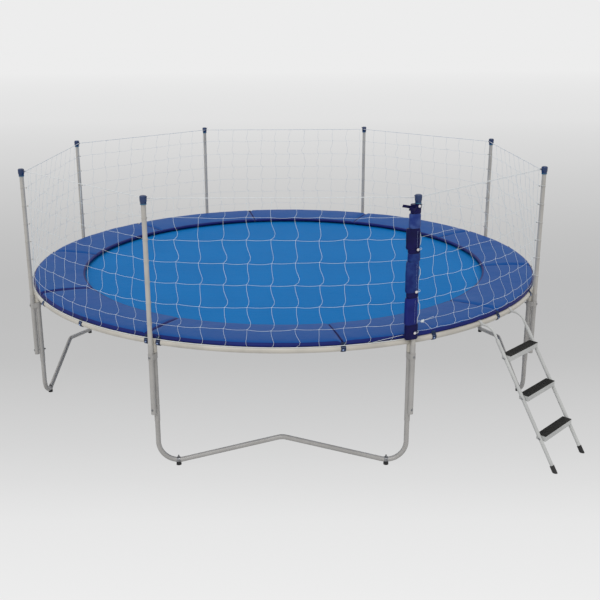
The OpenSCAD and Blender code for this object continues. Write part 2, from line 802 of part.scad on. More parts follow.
module entry_sleeve() {
    color(pad_blue)
    at(sleeve_az) translate([pole_r, 0, 0]) {
        translate([0, 0, sleeve_low_z]) linear_extrude(sleeve_l) sleeve_outline(sleeve_w);
        translate([0, 0, sleeve_end_z]) linear_extrude(cap_low_z - seat - sleeve_end_z)
            sleeve_outline(neck_w);
    }
}

module entry_net() {
    color(cord_white)
    net_mesh(post_az[sleeve_post], post_az[hinge_post], entry_top_z, entry_low_z,
        entry_edge + edge_seat, shared_trim);
}

entry_half = bay_half(post_az[sleeve_post], post_az[hinge_post]);
entry_edge_y = entry_edge - net_r * sin(entry_half);

module entry_net_ropes() {
    color(cord_white)
    at((post_az[sleeve_post] + post_az[hinge_post]) / 2) {
        translate([net_r * cos(entry_half), entry_edge_y - edge_d / 2, entry_top_z]) rotate([-90, 0, 0])
            cylinder(d = cord_d, h = net_r * sin(entry_half) - shared_trim - entry_edge_y + edge_d / 2,
                $fn = 24);
        net_row(entry_half, entry_low_z, cord_d, entry_edge - edge_d / 2, shared_trim);
        net_column(entry_half, entry_edge_y, entry_top_z, entry_low_z, edge_d);
    }
}

module entry_hinge_loops() {
    color(cord_white)
    at(post_az[hinge_post])
        for (z = row_heights) tie(z + shared_lift, shared_turn);
}

// The free edge of the entry net seen from the sleeve's pole: X outwards, Y along the bay
function edge_seen(z) =
    let (p = column_at(entry_half, entry_edge_y, z))
    [p[0] * cos(entry_half) - p[1] * sin(entry_half) - pole_r,
     p[0] * sin(entry_half) + p[1] * cos(entry_half)];

// The middle of the round side of the sleeve at this height, seen from its pole
function sleeve_corner(z) = [0, sleeve_side(z > sleeve_end_z ? neck_w : sleeve_w)];

// Buttons on the outside of the sleeve
module entry_toggles() {
    rim = toggle_d / 2;
    color(cord_white)
    at(sleeve_az)
        for (z = toggle_z)
            translate([pole_r + sleeve_depth / 2 + seat, button_y, z]) rotate([0, 90, 0])
                rotate_extrude() polygon([
                    [0, 0], [button_stem_r, 0], [button_stem_r, button_stem_l], [rim, button_stem_l],
                    [rim, button_stem_l + 0.5 * button_head_t], [0.7 * rim, button_stem_l + button_head_t],
                    [0, button_stem_l + button_head_t]
                ]);
}

// Cord through points at one height, with a small knot at each bend
module level_cord(points, d) {
    thin = d - 2 * weld_inset;
    last = len(points) - 1;
    for (i = [0:last - 1]) {
        ahead = points[i + 1] - points[i];
        lap = d / 4 * ahead / norm(ahead);
        from = i == 0 ? points[i] : points[i] - lap;
        to = i == last - 1 ? points[i + 1] : points[i + 1] + lap;
        translate(from) rotate([0, 0, atan2(ahead[1], ahead[0])]) rotate([0, 90, 0])
            cylinder(d = thin, h = norm(to - from), $fn = 24);
    }
    for (i = [1:last - 1]) translate(points[i]) sphere(d = 1.2 * d, $fn = 24);
}

// Loops from the net's free edge round the corner of the sleeve to the buttons, unhooked from them
module entry_edge_loops() {
    wrap = (sleeve_depth / 2 + toggle_cord_d / 2 + seat) / cos(30);
    color(cord_white)
    at(sleeve_az) translate([pole_r, 0, 0])
        for (z = toggle_z) {
            corner = sleeve_corner(z);
            bends = [for (turn = [80, 20]) concat(corner + wrap * [cos(turn), sin(turn)], z)];
            edge = concat(edge_seen(z), z);
            start = edge + (edge_d / 2 + seat) * (bends[0] - edge) / norm(bends[0] - edge);
            stop = [sleeve_depth / 2 + seat + button_stem_l / 2,
                button_y + toggle_d / 2 + toggle_cord_d / 2 + seat, z];
            level_cord([start, bends[0], bends[1], stop], toggle_cord_d);
        }
}

// ---- ladder ----

// The upright plane of a stile: X is the distance from the middle, Y the height
module stile_plane(side) {
    at(ladder_az) translate([0, side * stile_gap / 2, 0]) rotate([90, 0, 0]) children();
}

module ladder_hook(side) {
    rod_start = saddle_r + saddle_in_r + 0.2 * saddle_t;
    rod_d = hook_d - 2 * weld_inset;
    color(white_steel) stile_plane(side) {
        translate([saddle_r, ring_z, -saddle_w / 2]) linear_extrude(saddle_w)
        difference() {
            circle(r = saddle_out_r);
            circle(r = saddle_in_r);
            polygon([[0, 0], for (turn = saddle_open) 3 * saddle_out_r * [cos(turn), sin(turn)]]);
        }
        translate([rod_start, ring_z, 0]) rotate([0, 90, 0])
            cylinder(d = rod_d, h = bend_x + weld_lap - rod_start);
        translate([bend_x, ring_z - hook_bend_r, 0]) rotate([0, 0, 90 - bend_turn])
            rotate_extrude(angle = bend_turn) translate([hook_bend_r, 0]) circle(d = hook_d);
        translate([bend_end[0], bend_end[1], 0]) rotate([0, 0, ladder_lean - 90]) rotate([0, 90, 0])
            translate([0, 0, -weld_lap]) cylinder(d = rod_d, h = weld_lap + stile_start + hook_plug);
    }
}

module ladder_hook_left() ladder_hook(-1);
module ladder_hook_right() ladder_hook(1);

module step_bolt_holes() {
    for (z = step_heights)
        at(ladder_az) translate([on_stile(z - step_axis_drop), 0, z - step_axis_drop]) rotate([90, 0, 0])
            cylinder(d = bolt_hole_d, h = stile_gap + 4 * stile_d, center = true);
}

// The stile is drawn in round its upper end, where it grips the hook rod
module ladder_stile(side) {
    grip = (stile_d - 2 * stile_wall - hook_d) / 2 - slip;
    color(white_steel)
    difference() {
        stile_plane(side) translate([bend_end[0], bend_end[1], 0]) rotate([0, 0, ladder_lean - 90]) {
            translate([stile_start, 0, 0]) tube_x(stile_end - stile_start, stile_d, stile_wall);
            translate([stile_start, 0, 0])
                tube_x(collar_l, stile_d - 2 * weld_inset, stile_wall - 2 * weld_inset + grip);
        }
        step_bolt_holes();
    }
}

module ladder_stile_left() ladder_stile(-1);
module ladder_stile_right() ladder_stile(1);

module ladder_step(z) {
    top_z = z - tread_t;
    x = on_stile(z - step_axis_drop);
    color(white_steel)
    difference() {
        at(ladder_az) translate([x - step_depth / 2, -step_len / 2, top_z - step_h])
        difference() {
            cube([step_depth, step_len, step_h]);
            translate([step_wall, step_wall, -1])
                cube([step_depth - 2 * step_wall, step_len - 2 * step_wall, step_h + 1 - step_wall]);
        }
        step_bolt_holes();
    }
}

module ladder_step_1() ladder_step(step_heights[0]);
module ladder_step_2() ladder_step(step_heights[1]);
module ladder_step_3() ladder_step(step_heights[2]);

module step_tread(z) {
    x = on_stile(z - step_axis_drop);
    pitch = (step_depth - 8) / rib_count;
    color(black_rubber)
    at(ladder_az) translate([x - step_depth / 2, step_len / 2, z - tread_t]) rotate([90, 0, 0])
        linear_extrude(step_len) {
            square([step_depth, tread_t]);
            for (i = [0:rib_count - 1])
                translate([4 + (i + 0.5) * pitch - rib_w / 2, tread_t]) square([rib_w, rib_h]);
        }
}

module step_tread_1() step_tread(step_heights[0]);
module step_tread_2() step_tread(step_heights[1]);
module step_tread_3() step_tread(step_heights[2]);

module ladder_bolts() {
    out_y = stile_gap / 2 + stile_d / 2 + seat;
    in_y = step_len / 2 - step_wall - seat;
    color(zinc)
    for (z = step_heights, side = [-1, 1])
        at(ladder_az) translate([on_stile(z - step_axis_drop), 0, z - step_axis_drop])
            rotate([-90 * side, 0, 0]) {
            translate([0, 0, in_y - nut_h - 3]) cylinder(d = bolt_d, h = out_y - in_y + nut_h + 4);
            translate([0, 0, out_y]) cylinder(d1 = head_d, d2 = 0.6 * head_d, h = 0.5 * bolt_d);
            translate([0, 0, in_y - nut_h])
            difference() {
                cylinder(d = nut_d, h = nut_h, $fn = 6);
                translate([0, 0, -1]) cylinder(d = bolt_d + 0.1, h = nut_h + 2);
            }
        }
}

module ladder_feet() {
    foot_start = stile_end - boot_l + 10;
    room = 4 * stile_d;
    color(black_rubber)
    for (side = [-1, 1])
        stile_plane(side)
        difference() {
            translate([bend_end[0], bend_end[1], 0]) rotate([0, 0, ladder_lean - 90]) {
                difference() {
                    translate([foot_start, 0, 0]) rotate([0, 90, 0])
                        cylinder(d = stile_d + 2 * slip + 2 * boot_wall, h = boot_l + 20);
                    translate([foot_start - 1, 0, 0]) rotate([0, 90, 0])
                        cylinder(d = stile_d + 2 * slip, h = stile_end + seat - foot_start + 1);
                }
            }
            translate([on_stile(0) - room, -2 * room, -room]) cube([2 * room, 2 * room, 2 * room]);
        }
}

ring_tubes();
ring_spigots();
leg_sockets();
leg_uprights();
leg_base_front();
leg_base_right();
leg_base_back();
leg_base_left();
rubber_feet();
foot_clamps();
foot_bolts();
pole_lower_tubes();
pole_upper_tubes();
pole_clamps();
pole_bolts();
pole_caps();
springs();
jumping_mat();
mat_webbing();
v_rings();
safety_pad();
pad_straps();
net_panel_1();
net_panel_2();
net_panel_3();
net_panel_4();
net_panel_5();
net_panel_6();
net_panel_7();
net_top_rope();
net_bottom_rope();
net_ties();
entry_sleeve();
entry_net();
entry_net_ropes();
entry_hinge_loops();
entry_edge_loops();
entry_toggles();
ladder_hook_left();
ladder_hook_right();
ladder_stile_left();
ladder_stile_right();
ladder_step_1();
ladder_step_2();
ladder_step_3();
step_tread_1();
step_tread_2();
step_tread_3();
ladder_bolts();
ladder_feet();
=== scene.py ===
"""Finish and soft goods of a round garden trampoline with a cord net and a hook-on ladder.

Everything is in metres, +Z up, with the origin on the floor under the middle of the ring.
Azimuth 0 points along -Y and grows towards +X, in degrees.
"""
import logging
import random
from dataclasses import dataclass, field
from enum import Enum
from functools import cache, reduce
from math import copysign, cos, degrees, pi, radians, sin, sqrt
from typing import Callable, Iterable, Iterator, Sequence

import bmesh
import bpy
from mathutils import Matrix, Vector, noise


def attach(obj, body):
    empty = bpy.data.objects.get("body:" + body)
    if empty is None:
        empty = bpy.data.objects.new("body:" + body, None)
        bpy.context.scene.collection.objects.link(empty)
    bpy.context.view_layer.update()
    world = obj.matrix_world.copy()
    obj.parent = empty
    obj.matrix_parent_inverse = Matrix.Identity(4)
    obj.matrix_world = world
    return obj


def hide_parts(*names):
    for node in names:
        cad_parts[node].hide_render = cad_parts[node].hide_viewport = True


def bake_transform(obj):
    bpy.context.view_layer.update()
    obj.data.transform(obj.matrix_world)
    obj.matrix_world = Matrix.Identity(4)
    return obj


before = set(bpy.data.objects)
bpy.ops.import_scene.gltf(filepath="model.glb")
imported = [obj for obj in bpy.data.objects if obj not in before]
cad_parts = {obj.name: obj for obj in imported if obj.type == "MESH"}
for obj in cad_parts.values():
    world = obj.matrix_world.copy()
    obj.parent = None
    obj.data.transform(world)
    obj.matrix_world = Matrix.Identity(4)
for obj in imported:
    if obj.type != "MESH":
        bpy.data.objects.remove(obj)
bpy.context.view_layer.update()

log = logging.getLogger("trampoline")

Colour = tuple[float, float, float]
Screen = tuple[int, int, int]
Number = float | int
MM = 0.001
UP = Vector((0.0, 0.0, 1.0))
POLE_R = 2.1685
POLES = tuple(quarter + side * 23.6 for quarter in (0, 90, 180, 270) for side in (-1, 1))
ENTRY = 1


def tone(screen: Screen) -> Colour:
    """Turns a screen colour, from 0 to 255, into the linear colour that shaders use."""
    return tuple(v / 255 / 12.92 if v <= 10 else ((v / 255 + 0.055) / 1.055) ** 2.4 for v in screen)


def polar(azimuth: float, radius: float, height: float, across: float = 0.0) -> Vector:
    """Gives a point by its azimuth, distance from the middle and height.

    Args:
        azimuth: Degrees from -Y towards +X.
        radius: Distance from the middle of the ring.
        height: Height above the floor.
        across: Distance to the side, in the direction in which the azimuth grows.

    Returns:
        The point.
    """
    a = radians(azimuth)
    return Vector((radius * sin(a) + across * cos(a),
                   across * sin(a) - radius * cos(a), height))


def along(azimuth: float) -> Vector:
    """Returns the level direction in which the azimuth grows."""
    return polar(azimuth, 0.0, 0.0, 1.0)


def beside_entry(out: float, across: float, height: float) -> Vector:
    """Returns a point by its distance out of the entry pole's axis, across and its height."""
    return polar(POLES[ENTRY], POLE_R + out, height, across)


def ease(value: float, low: float, high: float) -> float:
    """Returns a smooth step from 0 at low to 1 at high."""
    t = min(1.0, max(0.0, (value - low) / (high - low)))
    return t * t * (3 - 2 * t)


def drift(x: float, y: float, z: float) -> float:
    """Returns smooth noise from about -1 to 1 with features of size 1."""
    return noise.noise(Vector((x, y, z)))


def circle(count: int) -> list[float]:
    """Returns the evenly spaced angles of one full turn, in radians."""
    return [2 * pi * k / count for k in range(count)]


def even(start: float, stop: float, count: int) -> list[float]:
    """Returns the ends of that many even steps from start to stop."""
    return [start + (stop - start) * k / count for k in range(count + 1)]


def oblong(angle: float, radius: float, flat: float) -> tuple[float, float]:
    """Returns a point of a rounded oblong, out and across, with half its straight length."""
    side = sin(angle)
    return radius * cos(angle), radius * side + copysign(flat * min(1, abs(side) * 3), side)


class Slot(Enum):
    """Names of the record's material slots for the scene's own pieces; nothing reads them."""

    MAT = "mat_fabric"
    WEBBING = "webbing"
    SPRING = "spring_steel"
    PAD = "pad_cover"
    STRAP = "strap_fabric"
    CORD = "net_cord"
    SLEEVE = "sleeve_cover"
    CAP = "cap_plastic"


# ---------------------------------------------------------------- shaders


class Signal:
    """A shader value that adds Math nodes to its graph when it is used in an expression."""

    def __init__(self, graph: "Graph", socket: bpy.types.NodeSocket) -> None:
        """Keeps the graph and the output socket."""
        self.graph = graph
        self.socket = socket

    def _math(self, operation: str, *values: "Signal | Number") -> "Signal":
        """Returns a Math node's result on these values."""
        return self.graph.add("ShaderNodeMath", {"operation": operation}, dict(enumerate(values)))

    def __add__(self, other: "Signal | Number") -> "Signal":
        """Returns self + other."""
        return self._math("ADD", self, other)

    __radd__ = __add__

    def __sub__(self, other: "Signal | Number") -> "Signal":
        """Returns self - other."""
        return self._math("SUBTRACT", self, other)

    def __rsub__(self, other: "Signal | Number") -> "Signal":
        """Returns other - self."""
        return self._math("SUBTRACT", other, self)

    def __mul__(self, other: "Signal | Number") -> "Signal":
        """Returns self * other."""
        return self._math("MULTIPLY", self, other)

    __rmul__ = __mul__

    def wave(self, length: float) -> "Signal":
        """Returns a wave from -1 to 1 along this value, with that length."""
        return self._math("SINE", self * (2 * pi / length))

    def larger(self, other: "Signal | Number") -> "Signal":
        """Returns the larger of two values."""
        return self._math("MAXIMUM", self, other)

    def between(self, low: float, high: float) -> "Signal":
        """Returns a smooth ramp from 0 at low to 1 at high, held outside."""
        return self.graph.add("ShaderNodeMapRange", {"interpolation_type": "SMOOTHSTEP", "clamp": True},
                              {"Value": self, "From Min": low, "From Max": high})


Sockets = dict[str, Signal | Number]


class Graph:
    """The node tree of a material or a world."""

    def __init__(self, owner: bpy.types.Material | bpy.types.World,
                 end: str = "ShaderNodeOutputMaterial") -> None:
        """Clears the owner's nodes and adds its output.

        Args:
            owner: What the nodes belong to.
            end: The output node's type.
        """
        owner.use_nodes = True
        self.owner = owner
        self.tree = owner.node_tree
        self.tree.nodes.clear()
        self.end = self.tree.nodes.new(end)

    def link(self, value: Signal | Sequence[float] | Number, socket: bpy.types.NodeSocket) -> None:
        """Links a signal to a socket, or sets a constant on it.

        Args:
            value: The signal or constant.
            socket: The input that takes it.
        """
        if isinstance(value, Signal):
            self.tree.links.new(value.socket, socket)
        elif isinstance(value, (int, float)):
            socket.default_value = value
        else:
            socket.default_value = (*value, 1.0)[:len(socket.default_value)]

    def add(self, kind: str, settings: dict | None = None, inputs: dict | None = None,
            output: int | str = 0) -> Signal:
        """Adds a node of any kind.

        Args:
            kind: The node's type.
            settings: Properties to set first; "stops" are a ramp's positions and colours.
            inputs: Socket names or numbers, with the values or signals that feed them.
            output: The output that the signal stands for.

        Returns:
            The chosen output as a signal.
        """
        node = self.tree.nodes.new(kind)
        for key, value in (settings or {}).items():
            if key == "stops":
                ramp = node.color_ramp
                while len(ramp.elements) < len(value):
                    ramp.elements.new(0.5)
                for element, (position, colour) in zip(ramp.elements, value):
                    element.position = position
                    element.color = (*colour, 1.0)
            else:
                setattr(node, key, value)
        for key, value in (inputs or {}).items():
            self.link(value, node.inputs[key])
        return Signal(self, node.outputs[output])

    def place(self) -> Signal:
        """Returns the point on the piece, in metres."""
        return self.add("ShaderNodeTexCoord", output="Object")

    def axes(self) -> tuple[Signal, ...]:
        """Returns the three coordinates of the point on the piece."""
        return tuple(self.add("ShaderNodeSeparateXYZ", inputs={0: self.place()}, output=k) for k in range(3))

    def grain(self, scale: float, detail: float = 3.0, roughness: float = 0.55,
              stretch: Sequence[float] | None = None) -> Signal:
        """Returns noise from 0 to 1.

        Args:
            scale: Features per metre.
            detail: Finer layers of noise.
            roughness: Strength of the finer layers.
            stretch: Scale along X, Y and Z, or None for even noise.

        Returns:
            The noise.
        """
        point = self.place()
        if stretch:
            point = self.add("ShaderNodeMapping", inputs={"Vector": point, "Scale": stretch})
        inputs = {"Vector": point, "Scale": scale, "Detail": detail, "Roughness": roughness}
        return self.add("ShaderNodeTexNoise", {"noise_dimensions": "3D"}, inputs)

    def relief(self, height: Signal, depth: float, strength: float) -> Signal:
        """Returns a normal that is bumped by a height, over this depth in metres."""
        return self.add("ShaderNodeBump", inputs={"Height": height, "Distance": depth, "Strength": strength})

    def rays(self, *kinds: str) -> Signal:
        """Returns 1 for rays of these kinds, and 0 for others."""
        return reduce(Signal.larger, [self.add("ShaderNodeLightPath", output=kind) for kind in kinds])

    def show(self, surface: Signal) -> bpy.types.Material | bpy.types.World:
        """Joins a shader to the output and returns the owner."""
        self.link(surface, self.end.inputs["Surface"])
        return self.owner


@dataclass(frozen=True)
class Finish:
    """A finish that goes from one screen colour to another in patches."""

    name: str
    colour: Screen
    shade: Screen

    def material(self) -> bpy.types.Material:
        """Returns the finish as a material."""
        graph = Graph(bpy.data.materials.new(self.name))
        return graph.show(graph.add("ShaderNodeBsdfPrincipled", inputs=self.sockets(graph)))

    def sockets(self, g: Graph) -> Sockets:
        """Gives the inputs of the main shader.

        Args:
            g: The material's graph.

        Returns:
            Values and signals by the names of their sockets.
        """
        raise NotImplementedError

    def dye(self, share: Signal) -> Signal:
        """Returns the finish's colour, from its first at 0 to its second at 1."""
        return share.graph.add("ShaderNodeMix", {"data_type": "RGBA", "clamp_factor": True},
                               {0: share, 6: tone(self.colour), 7: tone(self.shade)}, output=2)


@dataclass(frozen=True)
class PaintedSteel(Finish):
    """Sprayed paint on steel tube, with faint runs, dust and rubbed spots."""

    roughness: float = 0.38

    def sockets(self, g: Graph) -> Sockets:
        """Gives satin paint, cloudy and a little rubbed.

        Args:
            g: The material's graph.

        Returns:
            Values and signals by the names of their sockets.
        """
        cloud, speck = g.grain(5.0), g.grain(420.0, 2.0)
        rub = g.grain(38.0, 6.0, 0.7).between(0.64, 0.74)
        return {"Base Color": self.dye(cloud.between(0.3, 0.75) * 0.7 + rub * 0.3),
                "Roughness": self.roughness + rub * 0.18 + cloud * 0.06, "Metallic": 0.0,
                "Coat Weight": 0.25, "Coat Roughness": 0.2, "Specular IOR Level": 0.5,
                "Normal": g.relief(speck + cloud * 2.0, 0.15 * MM, 0.5)}


@dataclass(frozen=True)
class PlatedSteel(Finish):
    """Zinc-plated steel with a dull, cloudy skin."""

    roughness: float = 0.34

    def sockets(self, g: Graph) -> Sockets:
        """Gives bright metal with dull clouds.

        Args:
            g: The material's graph.

        Returns:
            Values and signals by the names of their sockets.
        """
        cloud, fine = g.grain(60.0, 4.0), g.grain(900.0, 2.0)
        return {"Base Color": self.dye(cloud.between(0.35, 0.7)), "Metallic": 0.9,
                "Roughness": self.roughness + cloud * 0.16, "Normal": g.relief(fine, 0.05 * MM, 0.4)}


@dataclass(frozen=True)
class CoatedCloth(Finish):
    """Vinyl-coated cloth with the threads showing faintly, soft creases and scuffs; at small patch scales, as
    on the sleeve, its colour patches are painted light and shade of folds.
    """

    roughness: float = 0.5
    crease: float = 9.0
    patch: float = 2.4
    thread: float = 1.6 * MM

    def sockets(self, g: Graph) -> Sockets:
        """Gives a satin skin with folds, threads and scuffs.

        Args:
            g: The material's graph.

        Returns:
            Values and signals by the names of their sockets.
        """
        x, y, z = (axis.wave(self.thread) for axis in g.axes())
        # Colour patches: at the sleeve's small scales they stand for folds, as painted highlight and painted
        # shade.
        fold, cloud = g.grain(self.crease, 4.0, 0.6), g.grain(self.patch)
        scuff = g.grain(55.0, 5.0, 0.7).between(0.6, 0.78)
        return {"Base Color": self.dye(cloud.between(0.3, 0.72) * 0.75 + scuff * 0.2), "Metallic": 0.0,
                "Roughness": self.roughness + scuff * 0.15 + fold * 0.08, "Specular IOR Level": 0.16,
                "Normal": g.relief(fold * 6.0 + (x * y + z * 0.5) * 0.06, 1.0 * MM, 0.6)}


@dataclass(frozen=True)
class WovenBed(Finish):
    """Tightly woven plastic yarn of the jumping mat."""

    yarn: float = 2.4 * MM

    def sockets(self, g: Graph) -> Sockets:
        """Gives the crossing yarns, with dust on them and streaks across the bed.

        Args:
            g: The material's graph.

        Returns:
            Values and signals by the names of their sockets.
        """
        warp, weft = (axis.wave(self.yarn) for axis in g.axes()[:2])
        cloud, streak = g.grain(1.3), g.grain(3.0, 4.0, 0.5, (1.0, 22.0, 1.0))
        dust = g.grain(14.0, 6.0, 0.7).between(0.55, 0.8)
        share = cloud.between(0.3, 0.7) * 0.5 + streak.between(0.4, 0.7) * 0.25 + dust * 0.2
        return {"Base Color": self.dye(share), "Roughness": 0.62 + dust * 0.1, "Metallic": 0.0,
                "Specular IOR Level": 0.06,
                "Normal": g.relief(warp.larger(weft) + warp * weft * 0.5, 0.25 * MM, 0.6)}


@dataclass(frozen=True)
class Webbing(Finish):
    """Flat woven strap with its ribs across."""

    rib: float = 2.0 * MM

    def sockets(self, g: Graph) -> Sockets:
        """Gives ribs across the strap, with fuzz on them.

        Args:
            g: The material's graph.

        Returns:
            Values and signals by the names of their sockets.
        """
        x, y, z = g.axes()
        ribs = (x + y).wave(self.rib) * (x - y).wave(self.rib)
        fuzz, cloud = g.grain(260.0), g.grain(22.0)
        return {"Base Color": self.dye(cloud.between(0.35, 0.7)), "Metallic": 0.0,
                "Roughness": 0.6 + fuzz * 0.12, "Specular IOR Level": 0.4,
                "Normal": g.relief(ribs + fuzz * 0.6 + z.wave(self.rib) * 0.6, 0.3 * MM, 0.7)}


@dataclass(frozen=True)
class BraidedCord(Finish):
    """Thin braided cord."""

    braid: float = 2.6 * MM

    def sockets(self, g: Graph) -> Sockets:
        """Gives the crossing strands of the braid, with fuzz on them.

        Args:
            g: The material's graph.

        Returns:
            Values and signals by the names of their sockets.
        """
        x, y, z = g.axes()
        lay, fuzz = (x + z).wave(self.braid) * (y - z).wave(self.braid), g.grain(700.0)
        return {"Base Color": self.dye(fuzz.between(0.35, 0.7) * 0.6 + lay.between(-0.2, 0.9) * 0.3),
                "Metallic": 0.0, "Roughness": 0.72 + fuzz * 0.1, "Specular IOR Level": 0.3,
                "Normal": g.relief(lay + fuzz * 0.5, 0.4 * MM, 0.7)}


@dataclass(frozen=True)
class Moulded(Finish):
    """Moulded plastic or rubber with a fine grain and rubbed patches."""

    roughness: float = 0.35
    grit: float = 320.0
    coat: float = 0.0

    def sockets(self, g: Graph) -> Sockets:
        """Gives a fine grain with rubbed patches.

        Args:
            g: The material's graph.

        Returns:
            Values and signals by the names of their sockets.
        """
        fine, cloud = g.grain(self.grit), g.grain(18.0)
        return {"Base Color": self.dye(cloud.between(0.35, 0.75) * 0.7 + fine.between(0.55, 0.8) * 0.3),
                "Metallic": 0.0, "Roughness": self.roughness + fine * 0.15, "Coat Weight": self.coat,
                "Coat Roughness": 0.15, "Normal": g.relief(fine, 0.2 * MM, 0.5)}


@dataclass(frozen=True)
class StudioFloor:
    """Pale floor whose grey changes slowly with its distance along Y."""

    steps: tuple[tuple[float, int], ...] = (
        (-3.4, 237), (-2.64, 231), (-2.17, 222), (-1.6, 213), (-0.9, 205), (-0.03, 195), (1.1, 191),
        (2.5, 190), (4.6, 195), (7.6, 204), (12.5, 214), (22.0, 226), (60.0, 237))
    glow: float = 0.97

    def material(self) -> bpy.types.Material:
        """Makes the floor's material.

        Returns:
            The material, which shows mostly its own grey and is partly lit.
        """
        g = Graph(bpy.data.materials.new("studio_floor"))
        near, far = self.steps[0][0], self.steps[-1][0]
        stops = [((y - near) / (far - near), tone((grey,) * 3)) for y, grey in self.steps]
        share = g.add("ShaderNodeMapRange", {}, {"Value": g.axes()[1], "From Min": near, "From Max": far})
        grey = g.add("ShaderNodeValToRGB", {"stops": stops}, {0: share})
        lit = g.add("ShaderNodeBsdfDiffuse", inputs={"Color": grey})
        glow = g.add("ShaderNodeEmission", inputs={"Color": grey, "Strength": 1.0})
        seen = g.rays("Is Camera Ray", "Is Glossy Ray", "Is Transmission Ray")
        return g.show(g.add("ShaderNodeMixShader", inputs={0: seen * self.glow, 1: lit, 2: glow}))


class Look(Enum):
    """All finishes of the trampoline."""

    FRAME = PaintedSteel("frame_paint", (192, 187, 177), (168, 164, 156))
    LEGS = PaintedSteel("leg_paint", (170, 168, 165), (150, 148, 145))
    POLES = PaintedSteel("pole_paint", (180, 177, 171), (158, 155, 150))
    LADDER = PaintedSteel("ladder_paint", (191, 192, 190), (169, 170, 169))
    ZINC = PlatedSteel("zinc_plate", (150, 151, 153), (108, 109, 112))
    SPRING = PlatedSteel("spring_steel", (176, 177, 180), (138, 139, 142))
    RUBBER = Moulded("black_rubber", (30, 30, 31), (48, 47, 46), 0.7)
    GRIP = Moulded("grip_rubber", (10, 10, 8), (34, 33, 29), 0.75, 190.0)
    CAP = Moulded("cap_plastic", (6, 44, 92), (4, 34, 74), 0.32, 200.0, 0.15)
    RIM = Moulded("cap_rim", (30, 100, 132), (20, 76, 108), 0.28, 200.0, 0.3)
    TOGGLE = Moulded("toggle_plastic", (214, 210, 212), (182, 178, 184), 0.4)
    BED = WovenBed("woven_bed", (8, 113, 183), (4, 105, 174))
    PAD = CoatedCloth("pad_cover", (0, 71, 144), (0, 77, 147))
    # Dark navy of the pad's skirt, underside, inner lip and seam ends: partly the skirt's own cloth, partly
    # painted shade and painted shadow.
    PAD_SKIRT_AND_SHADE = CoatedCloth("pad_skirt_and_shade", (20, 34, 106), (14, 24, 90))
    # The sleeve's finishes have small patches of painted fold light and shade: lighter streaks and glints on
    # the panel and collar, darker streaks on the cover and navy.
    SLEEVE = CoatedCloth("sleeve_cover", (22, 34, 110), (10, 20, 92), 0.4, 16.0, 14.0)
    SLEEVE_PANEL = CoatedCloth("sleeve_panel", (12, 32, 98), (36, 62, 124), 0.4, 16.0, 22.0)
    SLEEVE_COLLAR = CoatedCloth("sleeve_collar", (28, 50, 118), (64, 88, 146), 0.38, 16.0, 22.0)
    # Navy cloth of the neck, belt, chest and strap; on the band and foot it is painted shadow and painted
    # shade.
    NAVY_AND_SHADE = CoatedCloth("navy_cloth_and_shade", (10, 8, 72), (2, 4, 50), 0.42, 16.0, 16.0)
    STRAP = Webbing("strap_webbing", (4, 24, 58), (16, 52, 92))
    WEBBING = Webbing("bed_webbing", (24, 30, 74), (36, 44, 92))
    # Pale thread for stitches; on the straps it also colours the small balls that are painted highlights.
    THREAD = BraidedCord("pale_thread_and_highlight", (150, 168, 206), (120, 140, 186), 1.2 * MM)
    CORD = BraidedCord("net_cord", (216, 224, 228), (200, 211, 217))
    ROPE = BraidedCord("net_rope", (224, 227, 228), (211, 215, 217))
    KNOT = BraidedCord("net_knot", (226, 233, 236), (210, 219, 224))

    @cache
    def material(self) -> bpy.types.Material:
        """Returns the finish's material, which is made once."""
        return self.value.material()


# ---------------------------------------------------------------- meshes


def place(name: str, data: bpy.types.ID) -> bpy.types.Object:
    """Puts a mesh, light or camera into the scene.

    Args:
        name: The object's name.
        data: The mesh, light or camera.

    Returns:
        The new object.
    """
    piece = bpy.data.objects.new(name, data)
    bpy.context.scene.collection.objects.link(piece)
    return piece


def headings(path: Sequence[Vector], loop: bool) -> Iterator[tuple[Vector, Vector]]:
    """Gives each point of a path, with the direction in which the path runs there.

    Args:
        path: The points.
        loop: Whether the path closes on itself.

    Yields:
        A point and its direction.
    """
    for i, point in enumerate(path):
        before = path[i - 1] if i or loop else point
        after = path[(i + 1) % len(path)] if i < len(path) - 1 or loop else point
        yield point, (after - before).normalized()


